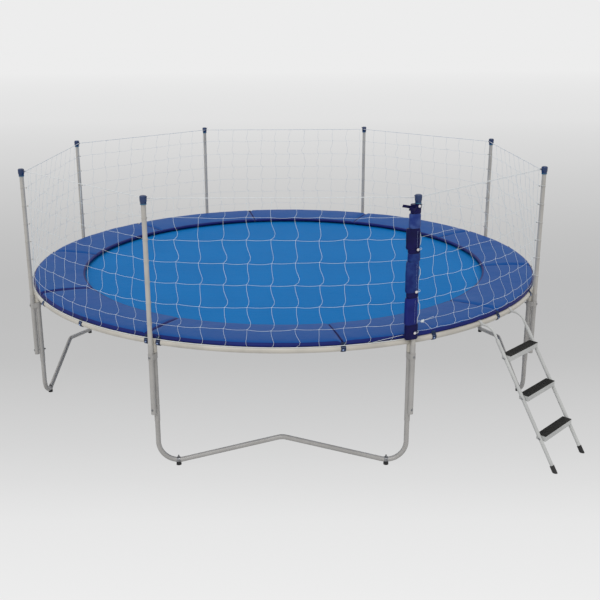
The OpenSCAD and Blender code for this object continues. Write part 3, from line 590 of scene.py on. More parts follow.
class Shape:
    """Collects the points and faces of one piece."""

    def __init__(self) -> None:
        """Starts with no points."""
        self.points: list[Vector] = []
        self.faces: list[tuple[int, ...]] = []
        self.parts: list[int] = []
        self.part = 0

    def face(self, *corners: int) -> None:
        """Adds a face in the present material part."""
        self.faces.append(corners)
        self.parts.append(self.part)

    def loft(self, rings: Sequence[Sequence[Vector]], loop: bool = False,
             part_of: Callable[[int, int], int] | None = None) -> None:
        """Joins closed rings of points one after the other.

        Args:
            rings: Rings with as many points each.
            loop: Whether the last ring joins the first; otherwise both ends are closed flat.
            part_of: The material part of a face, from the ring and the point of the ring that it starts at.
        """
        start, size, count = len(self.points), len(rings[0]), len(rings)
        for ring in rings:
            self.points.extend(ring)
        for i in range(count if loop else count - 1):
            low, high = start + i * size, start + (i + 1) % count * size
            for k in range(size):
                if part_of:
                    self.part = part_of(i, k)
                n = (k + 1) % size
                self.face(low + k, low + n, high + n, high + k)
        if not loop:
            self.face(*range(start + size - 1, start - 1, -1))
            self.face(*range(start + (count - 1) * size, start + count * size))

    def tube(self, path: Sequence[Vector], radius: float | Sequence[float], sides: int = 6,
             loop: bool = False) -> None:
        """Sweeps a round section along a path without twisting it.

        Args:
            path: Points of the centre line.
            radius: One radius, or one for each point.
            sides: Number of sides of the section.
            loop: Whether the path closes on itself.
        """
        radii = [radius] * len(path) if isinstance(radius, float) else radius
        normal: Vector | None = None
        rings = []
        for (point, ahead), size in zip(headings(path, loop), radii):
            normal = ahead.orthogonal() if normal is None else normal - ahead * normal.dot(ahead)
            normal.normalize()
            side = ahead.cross(normal)
            rings.append([point + (normal * cos(a) + side * sin(a)) * size for a in circle(sides)])
        self.loft(rings, loop)

    def band(self, path: Sequence[Vector], side: Vector, width: float, thickness: float,
             loop: bool = False) -> None:
        """Sweeps a flat band with soft edges along a path.

        Args:
            path: Points of the middle of the band.
            side: Direction across the band.
            width: Width across.
            thickness: Thickness of the band.
            loop: Whether the band closes on itself.
        """
        half, thick, edge = width / 2, thickness / 2, min(0.3 * thickness, 0.1 * width)
        corner = [(half - edge, -thick), (half, -thick + edge), (half, thick - edge), (half - edge, thick)]
        section = [(-half, -thick + edge), (-half + edge, -thick), *corner,
                   (-half + edge, thick), (-half, thick - edge)]
        rings = []
        for point, ahead in headings(path, loop):
            normal = ahead.cross(side)
            rings.append([point + side * a + normal * b for a, b in section])
        self.loft(rings, loop)

    def ball(self, centre: Vector, radius: float, sides: int = 8, layers: int = 5) -> None:
        """Adds a small ball.

        Args:
            centre: Middle of the ball.
            radius: Radius.
            sides: Number of sides round its axis.
            layers: Number of layers from pole to pole.
        """
        rings = []
        for i in range(layers):
            rise = pi * ((i + 0.5) / layers - 0.5)
            level = radius * cos(rise)
            rings.append([centre + Vector((level * cos(a), level * sin(a), radius * sin(rise)))
                          for a in circle(sides)])
        self.loft(rings)

    def copy(self, other: "Shape", matrix: Matrix) -> None:
        """Adds another shape.

        Args:
            other: The shape.
            matrix: Moves it.
        """
        start = len(self.points)
        self.points.extend(matrix @ p for p in other.points)
        self.faces.extend(tuple(start + i for i in face) for face in other.faces)
        self.parts.extend(other.parts)

    def make(self, name: str, looks: Sequence[Look], slot: Slot, replaces: Iterable[str] = (),
             body: str | None = "frame", sharp: float = 40.0) -> bpy.types.Object:
        """Makes the Blender object.

        Args:
            name: The piece's name.
            looks: One finish for each part number.
            slot: Not used.
            replaces: CAD nodes that it stands for.
            body: The body that it rides on, or None for none.
            sharp: Angle in degrees above which an edge stays sharp.

        Returns:
            The new object.
        """
        mesh = bpy.data.meshes.new(name)
        mesh.from_pydata(self.points, [], self.faces)
        for look in looks:
            mesh.materials.append(look.material())
        mesh.polygons.foreach_set("material_index", self.parts)
        work = bmesh.new()
        work.from_mesh(mesh)
        bmesh.ops.recalc_face_normals(work, faces=work.faces)
        work.to_mesh(mesh)
        work.free()
        mesh.shade_smooth()
        mesh.set_sharp_from_angle(angle=radians(sharp))
        piece = place(name, mesh)
        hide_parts(*replaces)
        if body:
            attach(piece, body)
        log.info("%s: %d faces", name, len(self.faces))
        return piece


def rounded(corners: Sequence[Vector], radius: float, steps: int = 4) -> list[Vector]:
    """Rounds the corners of a closed outline.

    Args:
        corners: The outline's corners.
        radius: Distance from a corner at which its curve starts.
        steps: Pieces of each curve.

    Returns:
        The points of the rounded outline.
    """
    path = []
    for i, corner in enumerate(corners):
        before = (corners[i - 1] - corner).normalized() * radius
        after = (corners[(i + 1) % len(corners)] - corner).normalized() * radius
        path += [corner + before * (1 - t) ** 2 + after * t ** 2 for t in even(0.0, 1.0, steps)]
    return path


def smooth_path(points: Sequence[Vector], steps: int) -> list[Vector]:
    """Runs a smooth line through points.

    Args:
        points: Points that the line passes.
        steps: Pieces between two points.

    Returns:
        The points of the line.
    """
    ends = [points[0] * 2 - points[1], *points, points[-1] * 2 - points[-2]]
    path = []
    for a, b, c, d in zip(ends, ends[1:], ends[2:], ends[3:]):
        for t in even(0.0, 1.0, steps)[:-1]:
            path.append((b * 2 + (c - a) * t + (a * 2 - b * 5 + c * 4 - d) * t ** 2
                         + (b * 3 - a - c * 3 + d) * t ** 3) / 2)
    return [*path, points[-1].copy()]


# ---------------------------------------------------------------- spring bed


@dataclass
class SpringBed:
    """Jumping mat, its webbing, the V rings and the coil springs, in wedges."""

    bed_z: float = 0.904
    mat_r: float = 1.795
    mat_t: float = 3 * MM
    draw_in: float = 1.6 * MM
    columns: int = 24
    rows: int = 22
    wedges: int = 16
    springs_each: int = 6
    wire: float = 4.5 * MM
    coil_r: float = 9.75 * MM
    coil_start: float = 1.8625
    coil_end: float = 2.076
    pitch: float = 6.1 * MM
    per_turn: int = 9
    hook_end: float = 2.1148
    loop_c: float = 1.84579
    loop_r: float = 8 * MM
    loop_turn: tuple[float, float] = (-305, -5)
    taper: float = 1.6
    hook_run: float = 6 * MM
    hook_rise: float = 0.6 * MM
    v_tip: float = 1.8453
    v_half: float = 24 * MM
    v_nose: float = 5 * MM
    bar_gap: float = 0.3 * MM
    tab_w: float = 27 * MM
    tab_t: float = 1.3 * MM
    tab_under: float = 44 * MM
    tab_over: float = 26 * MM
    hem_w: float = 50 * MM
    hem_t: float = 2.3 * MM
    hem_gap: float = 0.3 * MM
    stitch_rows: tuple[float, ...] = (8 * MM, 40 * MM)
    stitches: int = 46
    still_r: float = 2.11
    dished_r: float = 0.9

    @property
    def step(self) -> float:
        """Degrees from one spring to the next."""
        return 360 / self.wedges / self.springs_each

    def build(self) -> None:
        """Makes all wedges and bakes each one's place into its mesh."""
        spring, v_ring, tab = self.spring(), self.v_ring(), self.tab()
        for number in range(self.wedges):
            first = number * self.springs_each * self.step
            start, stop = first - self.step / 2, first + (self.springs_each - 0.5) * self.step
            coils, rings, hem = Shape(), Shape(), self.hem(start, stop)
            for k in range(self.springs_each):
                turn = Matrix.Rotation(radians(first + k * self.step), 4, "Z")
                for shape, part in ((coils, spring), (rings, v_ring), (hem, tab)):
                    shape.copy(part, turn)
            cloth = self.cloth(start, stop)
            pieces = []
            for shape, name, looks, slot, node in (
                    (coils, "coil_springs", [Look.SPRING], Slot.SPRING, "springs"),
                    (rings, "v_rings", [Look.SPRING], Slot.SPRING, "v_rings"),
                    (hem, "bed_webbing", [Look.WEBBING, Look.THREAD], Slot.WEBBING, "mat_webbing"),
                    (cloth, "woven_bed", [Look.BED], Slot.MAT, "jumping_mat")):
                pieces.append(shape.make(f"{name}_{number + 1:02d}", looks, slot, [node], None))
            middle = (start + stop) / 2
            for piece in pieces:
                polar(middle, self.still_r, self.bed_z)
                polar(middle, self.dished_r, self.bed_z)
                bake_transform(piece)

    def spring(self) -> Shape:
        """Makes one coil spring at azimuth 0.

        Returns:
            The spring, with its loop at the mat and its hook at the ring.
        """
        def at(out: float, across: float = 0.0, rise: float = 0.0) -> Vector:
            """Returns a point by its distance out, across and above the bed."""
            return polar(0, out, self.bed_z + rise, across)
        path = [at(self.loop_c + self.loop_r * cos(a), 0.0, self.loop_r * sin(a))
                for a in map(radians, even(*self.loop_turn, 18))]
        length = self.coil_end - self.coil_start
        count = round(length / self.pitch * self.per_turn)
        for k in range(count + 1):
            radius = self.coil_r * min(1.0, min(k, count - k) / self.per_turn * self.taper)
            a = 2 * pi * k / self.per_turn
            path.append(at(self.coil_start + length * k / count, radius * cos(a), radius * sin(a)))
        path += [at(self.coil_end + self.hook_run), at(self.hook_end - self.hook_run),
                 at(self.hook_end, 0.0, self.hook_rise)]
        shape = Shape()
        shape.tube(path, self.wire / 2, 5)
        return shape

    def v_ring(self) -> Shape:
        """Makes one V ring at azimuth 0.

        Returns:
            The ring, with its bar at the mat and its point outwards.
        """
        half = self.wire / 2
        base, tip, wide = self.mat_r + self.bar_gap + half, self.v_tip - half, self.v_half - half
        corners = [polar(0, radius, self.bed_z, across) for radius, across in (
            (base, -wide), (base, wide), (tip, self.v_nose), (tip, -self.v_nose))]
        shape = Shape()
        shape.tube(rounded(corners, 4 * MM), half, 7, loop=True)
        return shape

    def tab(self) -> Shape:
        """Makes the webbing loop that holds one V ring, at azimuth 0.

        Returns:
            The loop, from under the mat round the ring's bar and back over it.
        """
        bar = self.mat_r + self.bar_gap + self.wire / 2
        turn = self.wire / 2 + 0.9 * MM
        wrap = [(bar + turn * sin(a), -turn * cos(a)) for a in even(0.0, pi, 8)]
        path = [(self.mat_r - self.tab_under, -turn), (bar - 8 * MM, -turn), *wrap,
                (bar - 9 * MM, turn), (self.mat_r - self.tab_over, turn)]
        shape = Shape()
        shape.band([polar(0, r, self.bed_z + z) for r, z in path], along(0), self.tab_w, self.tab_t)
        return shape

    def hem(self, start: float, stop: float) -> Shape:
        """Makes a wedge's webbing under the mat's edge, with its two rows of stitches.

        Args:
            start: Azimuth of one side.
            stop: Azimuth of the other.

        Returns:
            The webbing, with the stitches as part 1.
        """
        shape = Shape()
        top = self.bed_z - self.mat_t / 2 - self.hem_gap
        low = top - self.hem_t
        bevel = low + 0.4 * MM
        inner, outer = self.mat_r - self.hem_w, self.mat_r - 0.5 * MM
        section = ((inner, bevel), (inner + 1 * MM, low), (outer - 1 * MM, low), (outer, bevel),
                   (outer, top), (inner, top))
        shape.loft([[polar(az, r, z) for r, z in section] for az in even(start, stop, 18)])
        shape.part = 1
        pitch = (stop - start) / self.stitches
        for inset in self.stitch_rows:
            for k in range(self.stitches):
                shape.tube([polar(start + pitch * (k + t), self.mat_r - inset, low + z * MM)
                            for t, z in ((0.2, 0.3), (0.32, -0.5), (0.68, -0.5), (0.8, 0.3))], 0.5 * MM, 4)
        return shape

    def cloth(self, start: float, stop: float) -> Shape:
        """Makes a wedge of the mat, tight and slightly drawn in between the rings.

        Args:
            start: Azimuth of one side.
            stop: Azimuth of the other.

        Returns:
            The wedge of cloth.
        """
        shape = Shape()
        for side in (1, -1):
            height = self.bed_z + side * self.mat_t / 2
            shape.points.append(Vector((0.0, 0.0, height)))
            for i in range(1, self.rows + 1):
                share = (i / self.rows) ** 0.8
                for az in even(start, stop, self.columns):
                    draw = 0.5 - 0.5 * cos(2 * pi * (az - start - self.step / 2) / self.step)
                    radius = self.mat_r - self.draw_in * draw * ease(share, 0.8, 1.0)
                    shape.points.append(polar(az, radius * share, height))
        half = len(shape.points) // 2

        def face(*corners: tuple[int, int, int]) -> None:
            """Adds a face through points given by their row, column and side."""
            shape.face(*(side * half + (1 + (i - 1) * (self.columns + 1) + k if i else 0)
                         for i, k, side in corners))
        for side in (0, 1):
            for k in range(self.columns):
                face((0, 0, side), (1, k, side), (1, k + 1, side))
                for i in range(1, self.rows):
                    face((i, k, side), (i + 1, k, side), (i + 1, k + 1, side), (i, k + 1, side))
        for k in range(self.columns):
            face((self.rows, k, 0), (self.rows, k, 1), (self.rows, k + 1, 1), (self.rows, k + 1, 0))
        for k in (0, self.columns):
            for i in range(self.rows):
                face((i, k, 0), (i + 1, k, 0), (i + 1, k, 1), (i, k, 1))
        return shape


# ---------------------------------------------------------------- pad


@dataclass
class EdgePad:
    """Ten foam-filled pad segments with a dark skirt, partly its own dark cloth and partly painted shade, and
    the straps that hold them to the ring.
    """

    ring_r: float = 2.129
    ring_z: float = 0.911
    ring_half: float = 21 * MM
    under_z: float = 0.9255
    cover_z: float = 0.934
    count: int = 10
    seam_az: float = 10.8
    seam_half: float = 3.2 * MM
    seam_steps: tuple[float, ...] = (0.0, 0.15, 0.4, 0.8, 1.4, 2.2, 3.2)
    # Rings at the seams of these azimuths that take the dark finish as painted shadow of the overlapping
    # segment; other seams take one.
    seam_shadow_strips: tuple[tuple[float, int], ...] = ((-25.2, 2), (-61.2, 3))
    pinch: float = 0.38
    crease: float = 3.2 * MM
    slack: float = 2.6 * MM
    ladder_az: float = 45.8
    hook_turn: float = 5.39
    hook_lift: float = 5.2 * MM
    strap_w: float = 34 * MM
    strap_t: float = 1.6 * MM
    strap_wrap: tuple[float, float] = (-165, 50)
    strap_fold: tuple[float, float] = (-70, 34)
    strap_rows: tuple[float, ...] = (-64, -58, 28)
    highlight_turn: float = -12
    highlight_r: float = 6.5 * MM
    strap_az: tuple[float, ...] = (
        -57.8, -41.5, -24.8, -22.4, 10.8, 28.5, 46.2, 64, 68.8, 82.8, 100.8, 118.8,
        136.8, 154, 172.8, -169.2, -151.2, -133.2, -116, -97.2, -79.2)

    def build(self) -> None:
        """Makes the pad segments and the straps."""
        for i in range(self.count):
            start, stop = (self.seam_az + k * 360 / self.count for k in (i, i + 1))
            piece = self.segment(start, stop).make(
                f"pad_segment_{i + 1:02d}", [Look.PAD, Look.PAD_SKIRT_AND_SHADE], Slot.PAD, ["safety_pad"], sharp=55)
        self.straps().make("pad_straps_sewn", [Look.STRAP, Look.THREAD], Slot.STRAP, ["pad_straps"])

    def outline(self, azimuth: float) -> list[tuple[float, float]]:
        """Gives the pad's section at an azimuth.

        Args:
            azimuth: Where the section is taken.

        Returns:
            Distance from the middle and height of each point, from the inner edge along the underside.
        """
        hook = min(abs(azimuth - self.ladder_az - s * self.hook_turn) for s in (-1, 1))
        lift = (1 - ease(hook, 0.5, 0.75)) * self.hook_lift
        droop = (7.5 + 2.0 * drift(azimuth * 0.12, 2.0, 0.0)) * MM
        under = [(1.7215, 0.9275 - droop), (1.724, self.under_z - droop), (1.775, self.under_z - droop),
                 (1.81, 0.9252), (2.0, 0.9252), (2.08, 0.9252), (2.096, 0.9262), (2.110, 0.9322),
                 (2.118, 0.9326 + lift), (2.131, 0.9326 + lift)]
        side = [(2.1345, 0.9345 + lift), (2.1352, 0.9400 + 0.3 * lift), (2.1352, 0.9458), (2.1335, 0.9500)]
        shoulder = [(2.129, 0.9545), (2.121, 0.9590), (2.110, 0.9625)]
        top = [(2.097 + (1.735 - 2.097) * t,
                0.9650 + (0.9435 - 0.9650) * t + 7 * MM * sin(pi * t) ** 0.8)
               for t in even(0.0, 1.0, 12)[:-1]]
        inner = [(1.735, 0.9440), (1.726, 0.9420), (1.7200, 0.9385), (1.7185, 0.9310 - droop / 2)]
        return under + side + shoulder + top + inner

    def segment(self, start: float, stop: float) -> Shape:
        """Makes one pad segment, pinched at both seams and creased near them.

        Args:
            start: Azimuth of one seam.
            stop: Azimuth of the other.

        Returns:
            The segment, with the skirt, underside and inner lip as part 1, a dark navy that is partly the
            skirt's own cloth and partly painted shade, and a few rings at each seam as part 1 too, as painted
            shadow.
        """
        inset = degrees(self.seam_half / 2.0)
        low, high = start + inset, stop - inset
        fold = self.seam_steps[-1]
        places = ([low + s for s in self.seam_steps] + even(low + fold, high - fold, 26)[1:-1]
                  + [high - s for s in reversed(self.seam_steps)])
        rings = []
        for az in places:
            reach = min(az - low, high - az)
            plump = 1 - self.pinch * (1 - ease(reach, 0.0, 1.0))
            ring = []
            for radius, height in self.outline(az):
                if height > self.cover_z:
                    lift = height - self.under_z
                    crease = drift(az * 1.1, radius * 16, 3.0) * (1 - ease(reach, 0.5, 5.0)) * self.crease
                    slack = drift(az * 0.22, radius * 5, 8.0) * self.slack
                    lift = lift * plump + (crease + slack) * ease(lift, 8 * MM, 24 * MM)
                    height = max(self.under_z + lift, 0.9345 if radius > 2.1 else self.under_z)
                rim = 1.0 * MM * drift(az * 0.7, 0.0, 5.0) if radius > 2.12 and height > 0.94 else 0.0
                ring.append(polar(az, radius + rim, height))
            rings.append(ring)
        # Part 1 outside the cover: the skirt and underside, partly their own dark cloth and partly painted
        # shade, and the inner lip as painted shade.
        cover = range(15, len(rings[0]) - 4)
        # Dark rings at both ends: painted shadow where one segment overlaps the next.
        first, last = (dict(self.seam_shadow_strips).get(round(az - 360.0, 1), 1) for az in (start, stop))
        between = range(first, len(rings) - 1 - last)
        shape = Shape()
        shape.part = 1
        shape.loft(rings, part_of=lambda i, k: 0 if k in cover and i in between else 1)
        return shape

    def round_tube(self, azimuth: float, angle: float, lift: float, across: float = 0.0) -> Vector:
        """Gives a point over the ring tube.

        Args:
            azimuth: Azimuth of the section.
            angle: Degrees round the tube, from outwards towards up.
            lift: Distance from the tube's skin.
            across: Distance along the tube.

        Returns:
            The point.
        """
        a, radius = radians(angle), self.ring_half + lift
        return polar(azimuth, self.ring_r + radius * cos(a), self.ring_z + radius * sin(a), across)

    def straps(self) -> Shape:
        """Makes all straps round the ring tube.

        Returns:
            The straps, with the stitches and a pale ball on each as part 1; the ball is a painted highlight
            on the strap's face.
        """
        shape = Shape()
        lift, width = 0.35 * MM + self.strap_t / 2, self.strap_w
        for az in self.strap_az:
            shape.part = 0
            lead = [polar(az, 2.1384, 0.9370), polar(az, 2.1374, 0.9450), polar(az, 2.1372, 0.9535)]
            wrap = [self.round_tube(az, angle, lift) for angle in even(*self.strap_wrap, 28)]
            shape.band([*wrap, *lead], along(az), width, self.strap_t)
            fold = [self.round_tube(az, angle, lift + self.strap_t) for angle in even(*self.strap_fold, 14)]
            shape.band(fold, along(az), width - 3 * MM, self.strap_t)
            shape.part = 1
            for angle in self.strap_rows:
                shape.tube([self.round_tube(az, angle, lift + 1.52 * self.strap_t, side * 11 * MM)
                            for side in (-1, 1)], 0.6 * MM, 5)
            # Pale ball in the thread finish: a painted highlight on the shiny strap.
            middle = self.round_tube(az, self.highlight_turn, lift + 0.9 * self.strap_t, -3 * MM)
            shape.ball(middle, self.highlight_r, 12, 7)
        return shape


# ---------------------------------------------------------------- net

Spot = tuple[float, float, float]


@dataclass
class Bay:
    """One bay of the net between two poles: the plane that the cords hang in, and its cords.

    Its knots are part 1 of the shape.
    """

    start: float
    stop: float
    radius: float
    top_z: float
    low_z: float
    cord: float
    dice: random.Random
    shape: Shape = field(default_factory=Shape)

    @property
    def half(self) -> float:
        """Half the bay's angle, in radians."""
        return radians((self.stop - self.start) / 2)

    @property
    def reach(self) -> float:
        """Half the distance between the two poles' knots."""
        return self.radius * sin(self.half)

    def point(self, across: float, height: float, out: float = 0.0) -> Vector:
        """Gives a place on the net, straight at the top rope and round at the ring.

        Args:
            across: Distance from the middle of the bay.
            height: Height above the floor.
            out: Distance outwards from the net.

        Returns:
            The point.
        """
        flat = self.radius * cos(self.half)
        round_x = sqrt(max(0.0, self.radius ** 2 - across ** 2))
        share = (self.top_z - height) / (self.top_z - self.low_z)
        return polar((self.start + self.stop) / 2, flat + (round_x - flat) * share + out, height, across)

    def line(self, path: Sequence[Vector]) -> None:
        """Adds a cord along a path."""
        self.shape.tube(path, self.cord / 2)

    def string(self, knots: Sequence[Spot], slack: Iterable[tuple[float, float]], steps: int) -> None:
        """Adds a cord that is slack between its knots.

        Args:
            knots: Where each knot is: across, height and out.
            slack: How far each stretch hangs down, and how far it bows along the bay.
            steps: Pieces of each stretch.
        """
        path = []
        for a, b, (dip, bow) in zip(knots, knots[1:], slack):
            for t in even(0.0, 1.0, steps)[:-1]:
                across, height, out = (p + (q - p) * t for p, q in zip(a, b))
                path.append(self.point(across + bow * sin(pi * t ** 2.4),
                                       height - dip * sin(pi * t), out))
        self.line([*path, self.point(*knots[-1])])


@dataclass
class CordNet:
    """Knotted cord net between the poles and the flap that closes the entry.

    What strays, dips and bows is in millimetres, from the least to the most.
    """

    net_r: float = 2.1405
    top_z: float = 1.877
    low_z: float = 0.9318
    top_gap: float = 0.126
    row_gap: float = 0.14144
    rows: int = 6
    mesh: float = 0.155
    edge: float = 30 * MM
    drawn: float = 16 * MM
    crowd: float = 0.34
    cord: float = 1.8 * MM
    knot: float = 2.2 * MM
    stray: tuple[tuple[float, float], ...] = ((-6, 6), (-5, 5), (-4, 5))
    dips: tuple[float, float] = (1, 7)
    bows: tuple[float, float] = (11, 30)
    top_share: float = 0.6
    same_way: float = 0.9
    other_way: float = -0.5
    edge_stray: tuple[float, float] = (-3, 3)
    edge_bows: tuple[float, float] = (5, 14)
    pole_gap: float = 5.3 * MM
    hinge_gap: float = 11.1 * MM
    entry_edge: float = 40 * MM
    entry_low_z: float = 0.975
    entry_top_z: float = 1.8717
    entry_out: float = 2.6 * MM
    entry_cord: float = 4.8 * MM
    entry_sag: float = 6 * MM
    entry_scallops: int = 8
    sways: tuple[Spot, ...] = ((1.375, 55, 10), (1.125, 70, 30), (1.60, 50, 20))
    sway: float = 17 * MM
    buttons: tuple[float, ...] = (0.985, 1.2667, 1.5483, 1.830)
    seed: int = 40

    @property
    def row_heights(self) -> list[float]:
        """Heights of the rows, from the top."""
        return [self.top_z - self.top_gap - k * self.row_gap for k in range(self.rows)]

    def build(self) -> None:
        """Makes the seven fixed panels and the entry flap."""
        number = 0
        for i, (start, stop) in enumerate(zip(POLES, [*POLES[1:], POLES[0] + 360])):
            dice = random.Random(self.seed + i)
            bay = Bay(start, stop, self.net_r, self.top_z, self.low_z, self.cord, dice)
            if i == ENTRY:
                self.flap(bay)
                continue
            number += 1
            first = self.hinge_gap if i == ENTRY + 1 else self.pole_gap
            self.mesh_cords(bay, first - bay.reach, bay.reach - self.pole_gap,
                            self.top_z, self.low_z, self.edge)
            if i == ENTRY - 1:
                self.slack_hem(bay)
            bay.shape.make(f"net_cords_{number}", [Look.CORD, Look.KNOT], Slot.CORD, [f"net_panel_{number}"])

    def slack_hem(self, bay: Bay) -> None:
        """Adds the slack end of the bottom rope that lies on the pad beside the sleeve.

        Args:
            bay: The bay beside the entry.
        """
        places = ((58, 961.0, 4), (100, 959.0, 5), (150, 953.0, 6), (210, 946.0, 6), (270, 934.5, 5))
        path = [bay.point(bay.reach - d * MM, z * MM, out * MM) for d, z, out in places]
        bay.shape.tube(smooth_path(path, 5), self.cord / 2 + 0.4 * MM, 8)

    def mesh_cords(self, bay: Bay, first: float, last: float, high: float, low: float,
                   edge: float = 0.0, crowd: float = 0.0) -> None:
        """Adds rows, columns and knots, with the slack that the cords have between knots.

        Args:
            bay: The bay.
            first: Where the rows start, across the bay.
            last: Where the rows end.
            high: Height of the columns' upper ends.
            low: Height of the columns' lower ends.
            edge: Distance of an extra column from the first pole, or 0 for none.
            crowd: How much the upper meshes crowd towards the first edge.
        """
        dice = bay.dice
        columns = round((last - first) / self.mesh)
        heights = [high, *self.row_heights, low]
        spots: list[list[Spot]] = []
        for height in heights:
            line = []
            for c in range(columns + 1):
                share = c / columns
                share -= crowd * share * (1 - share ** 6) * (height - low) / (high - low)
                across, rise, out = first + share * (last - first), 0.0, 0.0
                if 0 < c < columns:
                    across += (self.drawn + dice.uniform(*self.stray[0]) * MM) * (1 - crowd)
                    if height not in (high, low):
                        rise, out = (dice.uniform(*limits) * MM for limits in self.stray[1:])
                line.append((across, height + rise, out))
            spots.append(line)
        for line in spots[1:-1]:
            bay.string(line, [(dice.uniform(*self.dips) * MM, 0.0) for _ in line[1:]], 5)
        for column in list(zip(*spots))[1:-1]:
            bows = [dice.uniform(*self.bows) * MM * (1 if dice.random() < self.same_way else self.other_way)
                    for _ in column[1:]]
            bows[0] *= self.top_share
            bay.string(column, [(0.0, bow) for bow in bows], 7)
        knots = [spot for line in spots for spot in line[1:-1]]
        if edge:
            spine = [(first + edge + dice.uniform(*self.edge_stray) * MM, height, 0.0) for height in heights]
            bay.string(spine, [(0.0, dice.uniform(*self.edge_bows) * MM) for _ in spine[1:]], 7)
            knots += spine[1:-1]
        bay.shape.part = 1
        for knot in knots:
            bay.shape.ball(bay.point(*knot), self.knot)
        bay.shape.part = 0

    def flap(self, bay: Bay) -> None:
        """Makes the entry flap: its net, its edge cords and the knots at its corners.

        Args:
            bay: The entry bay.
        """
        edge, hinge = self.entry_edge - bay.reach, bay.reach - self.hinge_gap
        top, low = self.entry_top_z, self.entry_low_z
        self.mesh_cords(bay, edge, hinge, top, low, crowd=self.crowd)
        upright = []
        for height in even(top, low, 30):
            sway = self.sway * max(ease(abs(height - z), far * MM, near * MM) for z, far, near in self.sways)
            upright.append(bay.point(edge + sway, height, self.entry_out))
        bay.shape.tube(upright, self.entry_cord / 2, 8)
        for height, sag in ((top, 0.0), (low, self.entry_sag)):
            bay.line([bay.point(edge + (hinge - edge) * t,
                                height - sag * abs(sin(t * pi * self.entry_scallops)))
                      for t in even(0.0, 1.0, 40)])
        bay.shape.part = 1
        knots = [(0.0, top, 7), (0.0, low, 7), *((2 * MM, height, 4) for height in self.row_heights)]
        for inset, height, radius in knots:
            bay.shape.ball(bay.point(edge + inset, height, self.entry_out), radius * MM)
        self.corner_bunch(bay, edge)
        self.button_loops(bay, edge)
        bay.shape.make("entry_flap", [Look.CORD, Look.KNOT], Slot.CORD,
                       ["entry_net", "entry_net_ropes", "entry_edge_loops"], "entry_net")

    def corner_bunch(self, bay: Bay, edge: float) -> None:
        """Adds the bunched knot at the flap's lower corner, with its loose tails.

        Args:
            bay: The entry bay.
            edge: Where the flap's free edge is, across the bay.
        """
        def at(across: float, rise: float, out: float) -> Vector:
            """Returns a point by millimetres from the flap's edge, from the lowest row and out."""
            return bay.point(edge + across * MM, self.row_heights[-1] + (rise - 4) * MM, out * MM)
        for *spot, radius in ((34, 0, 7, 8), (42, 4, 10, 6.5), (27, -4, 9, 6), (36, -7, 12, 5)):
            bay.shape.ball(at(*spot), radius * MM)
        for tail in (((36, 0, 10), (60, -22, 16), (82, -48, 17), (100, -62, 15)),
                     ((34, 2, 10), (80, 8, 9), (130, 16, 7)), ((30, 0, 9), (12, -3, 8), (2, -2, 5))):
            bay.line(smooth_path([at(*spot) for spot in tail], 5))

    def button_loops(self, bay: Bay, edge: float) -> None:
        """Adds the loops that lead from the flap's edge round the sleeve to its buttons.

        Args:
            bay: The entry bay.
            edge: Where the flap's free edge is, across the bay.
        """
        loop = ((-12, 33, 4), (6, 32, 3), (20, 27, 2), (27, 16, 1), (28.5, 4, 5), (28.5, -6, 6),
                (28.5, -14, 1), (28.5, -12, -5), (28.5, -2, -6), (28.0, 12, -3), (26, 22, 0))
        for height in self.buttons:
            spots = [beside_entry(x * MM, y * MM, height + z * MM) for x, y, z in loop]
            bay.line(smooth_path([bay.point(edge, height - 6 * MM, self.entry_out), *spots], 4))


# ---------------------------------------------------------------- sleeve and caps


@dataclass(frozen=True)
class SleevePart:
    """One sewn length of the entry sleeve, in millimetres but for its two heights.

    A row of stitches shows at its seam, a margin away from both ends.
    """

    name: str
    low: float
    high: float
    width: float
    depth: float
    shift: float
    look: Look
    seam: float | None = None
    margin: float = 12


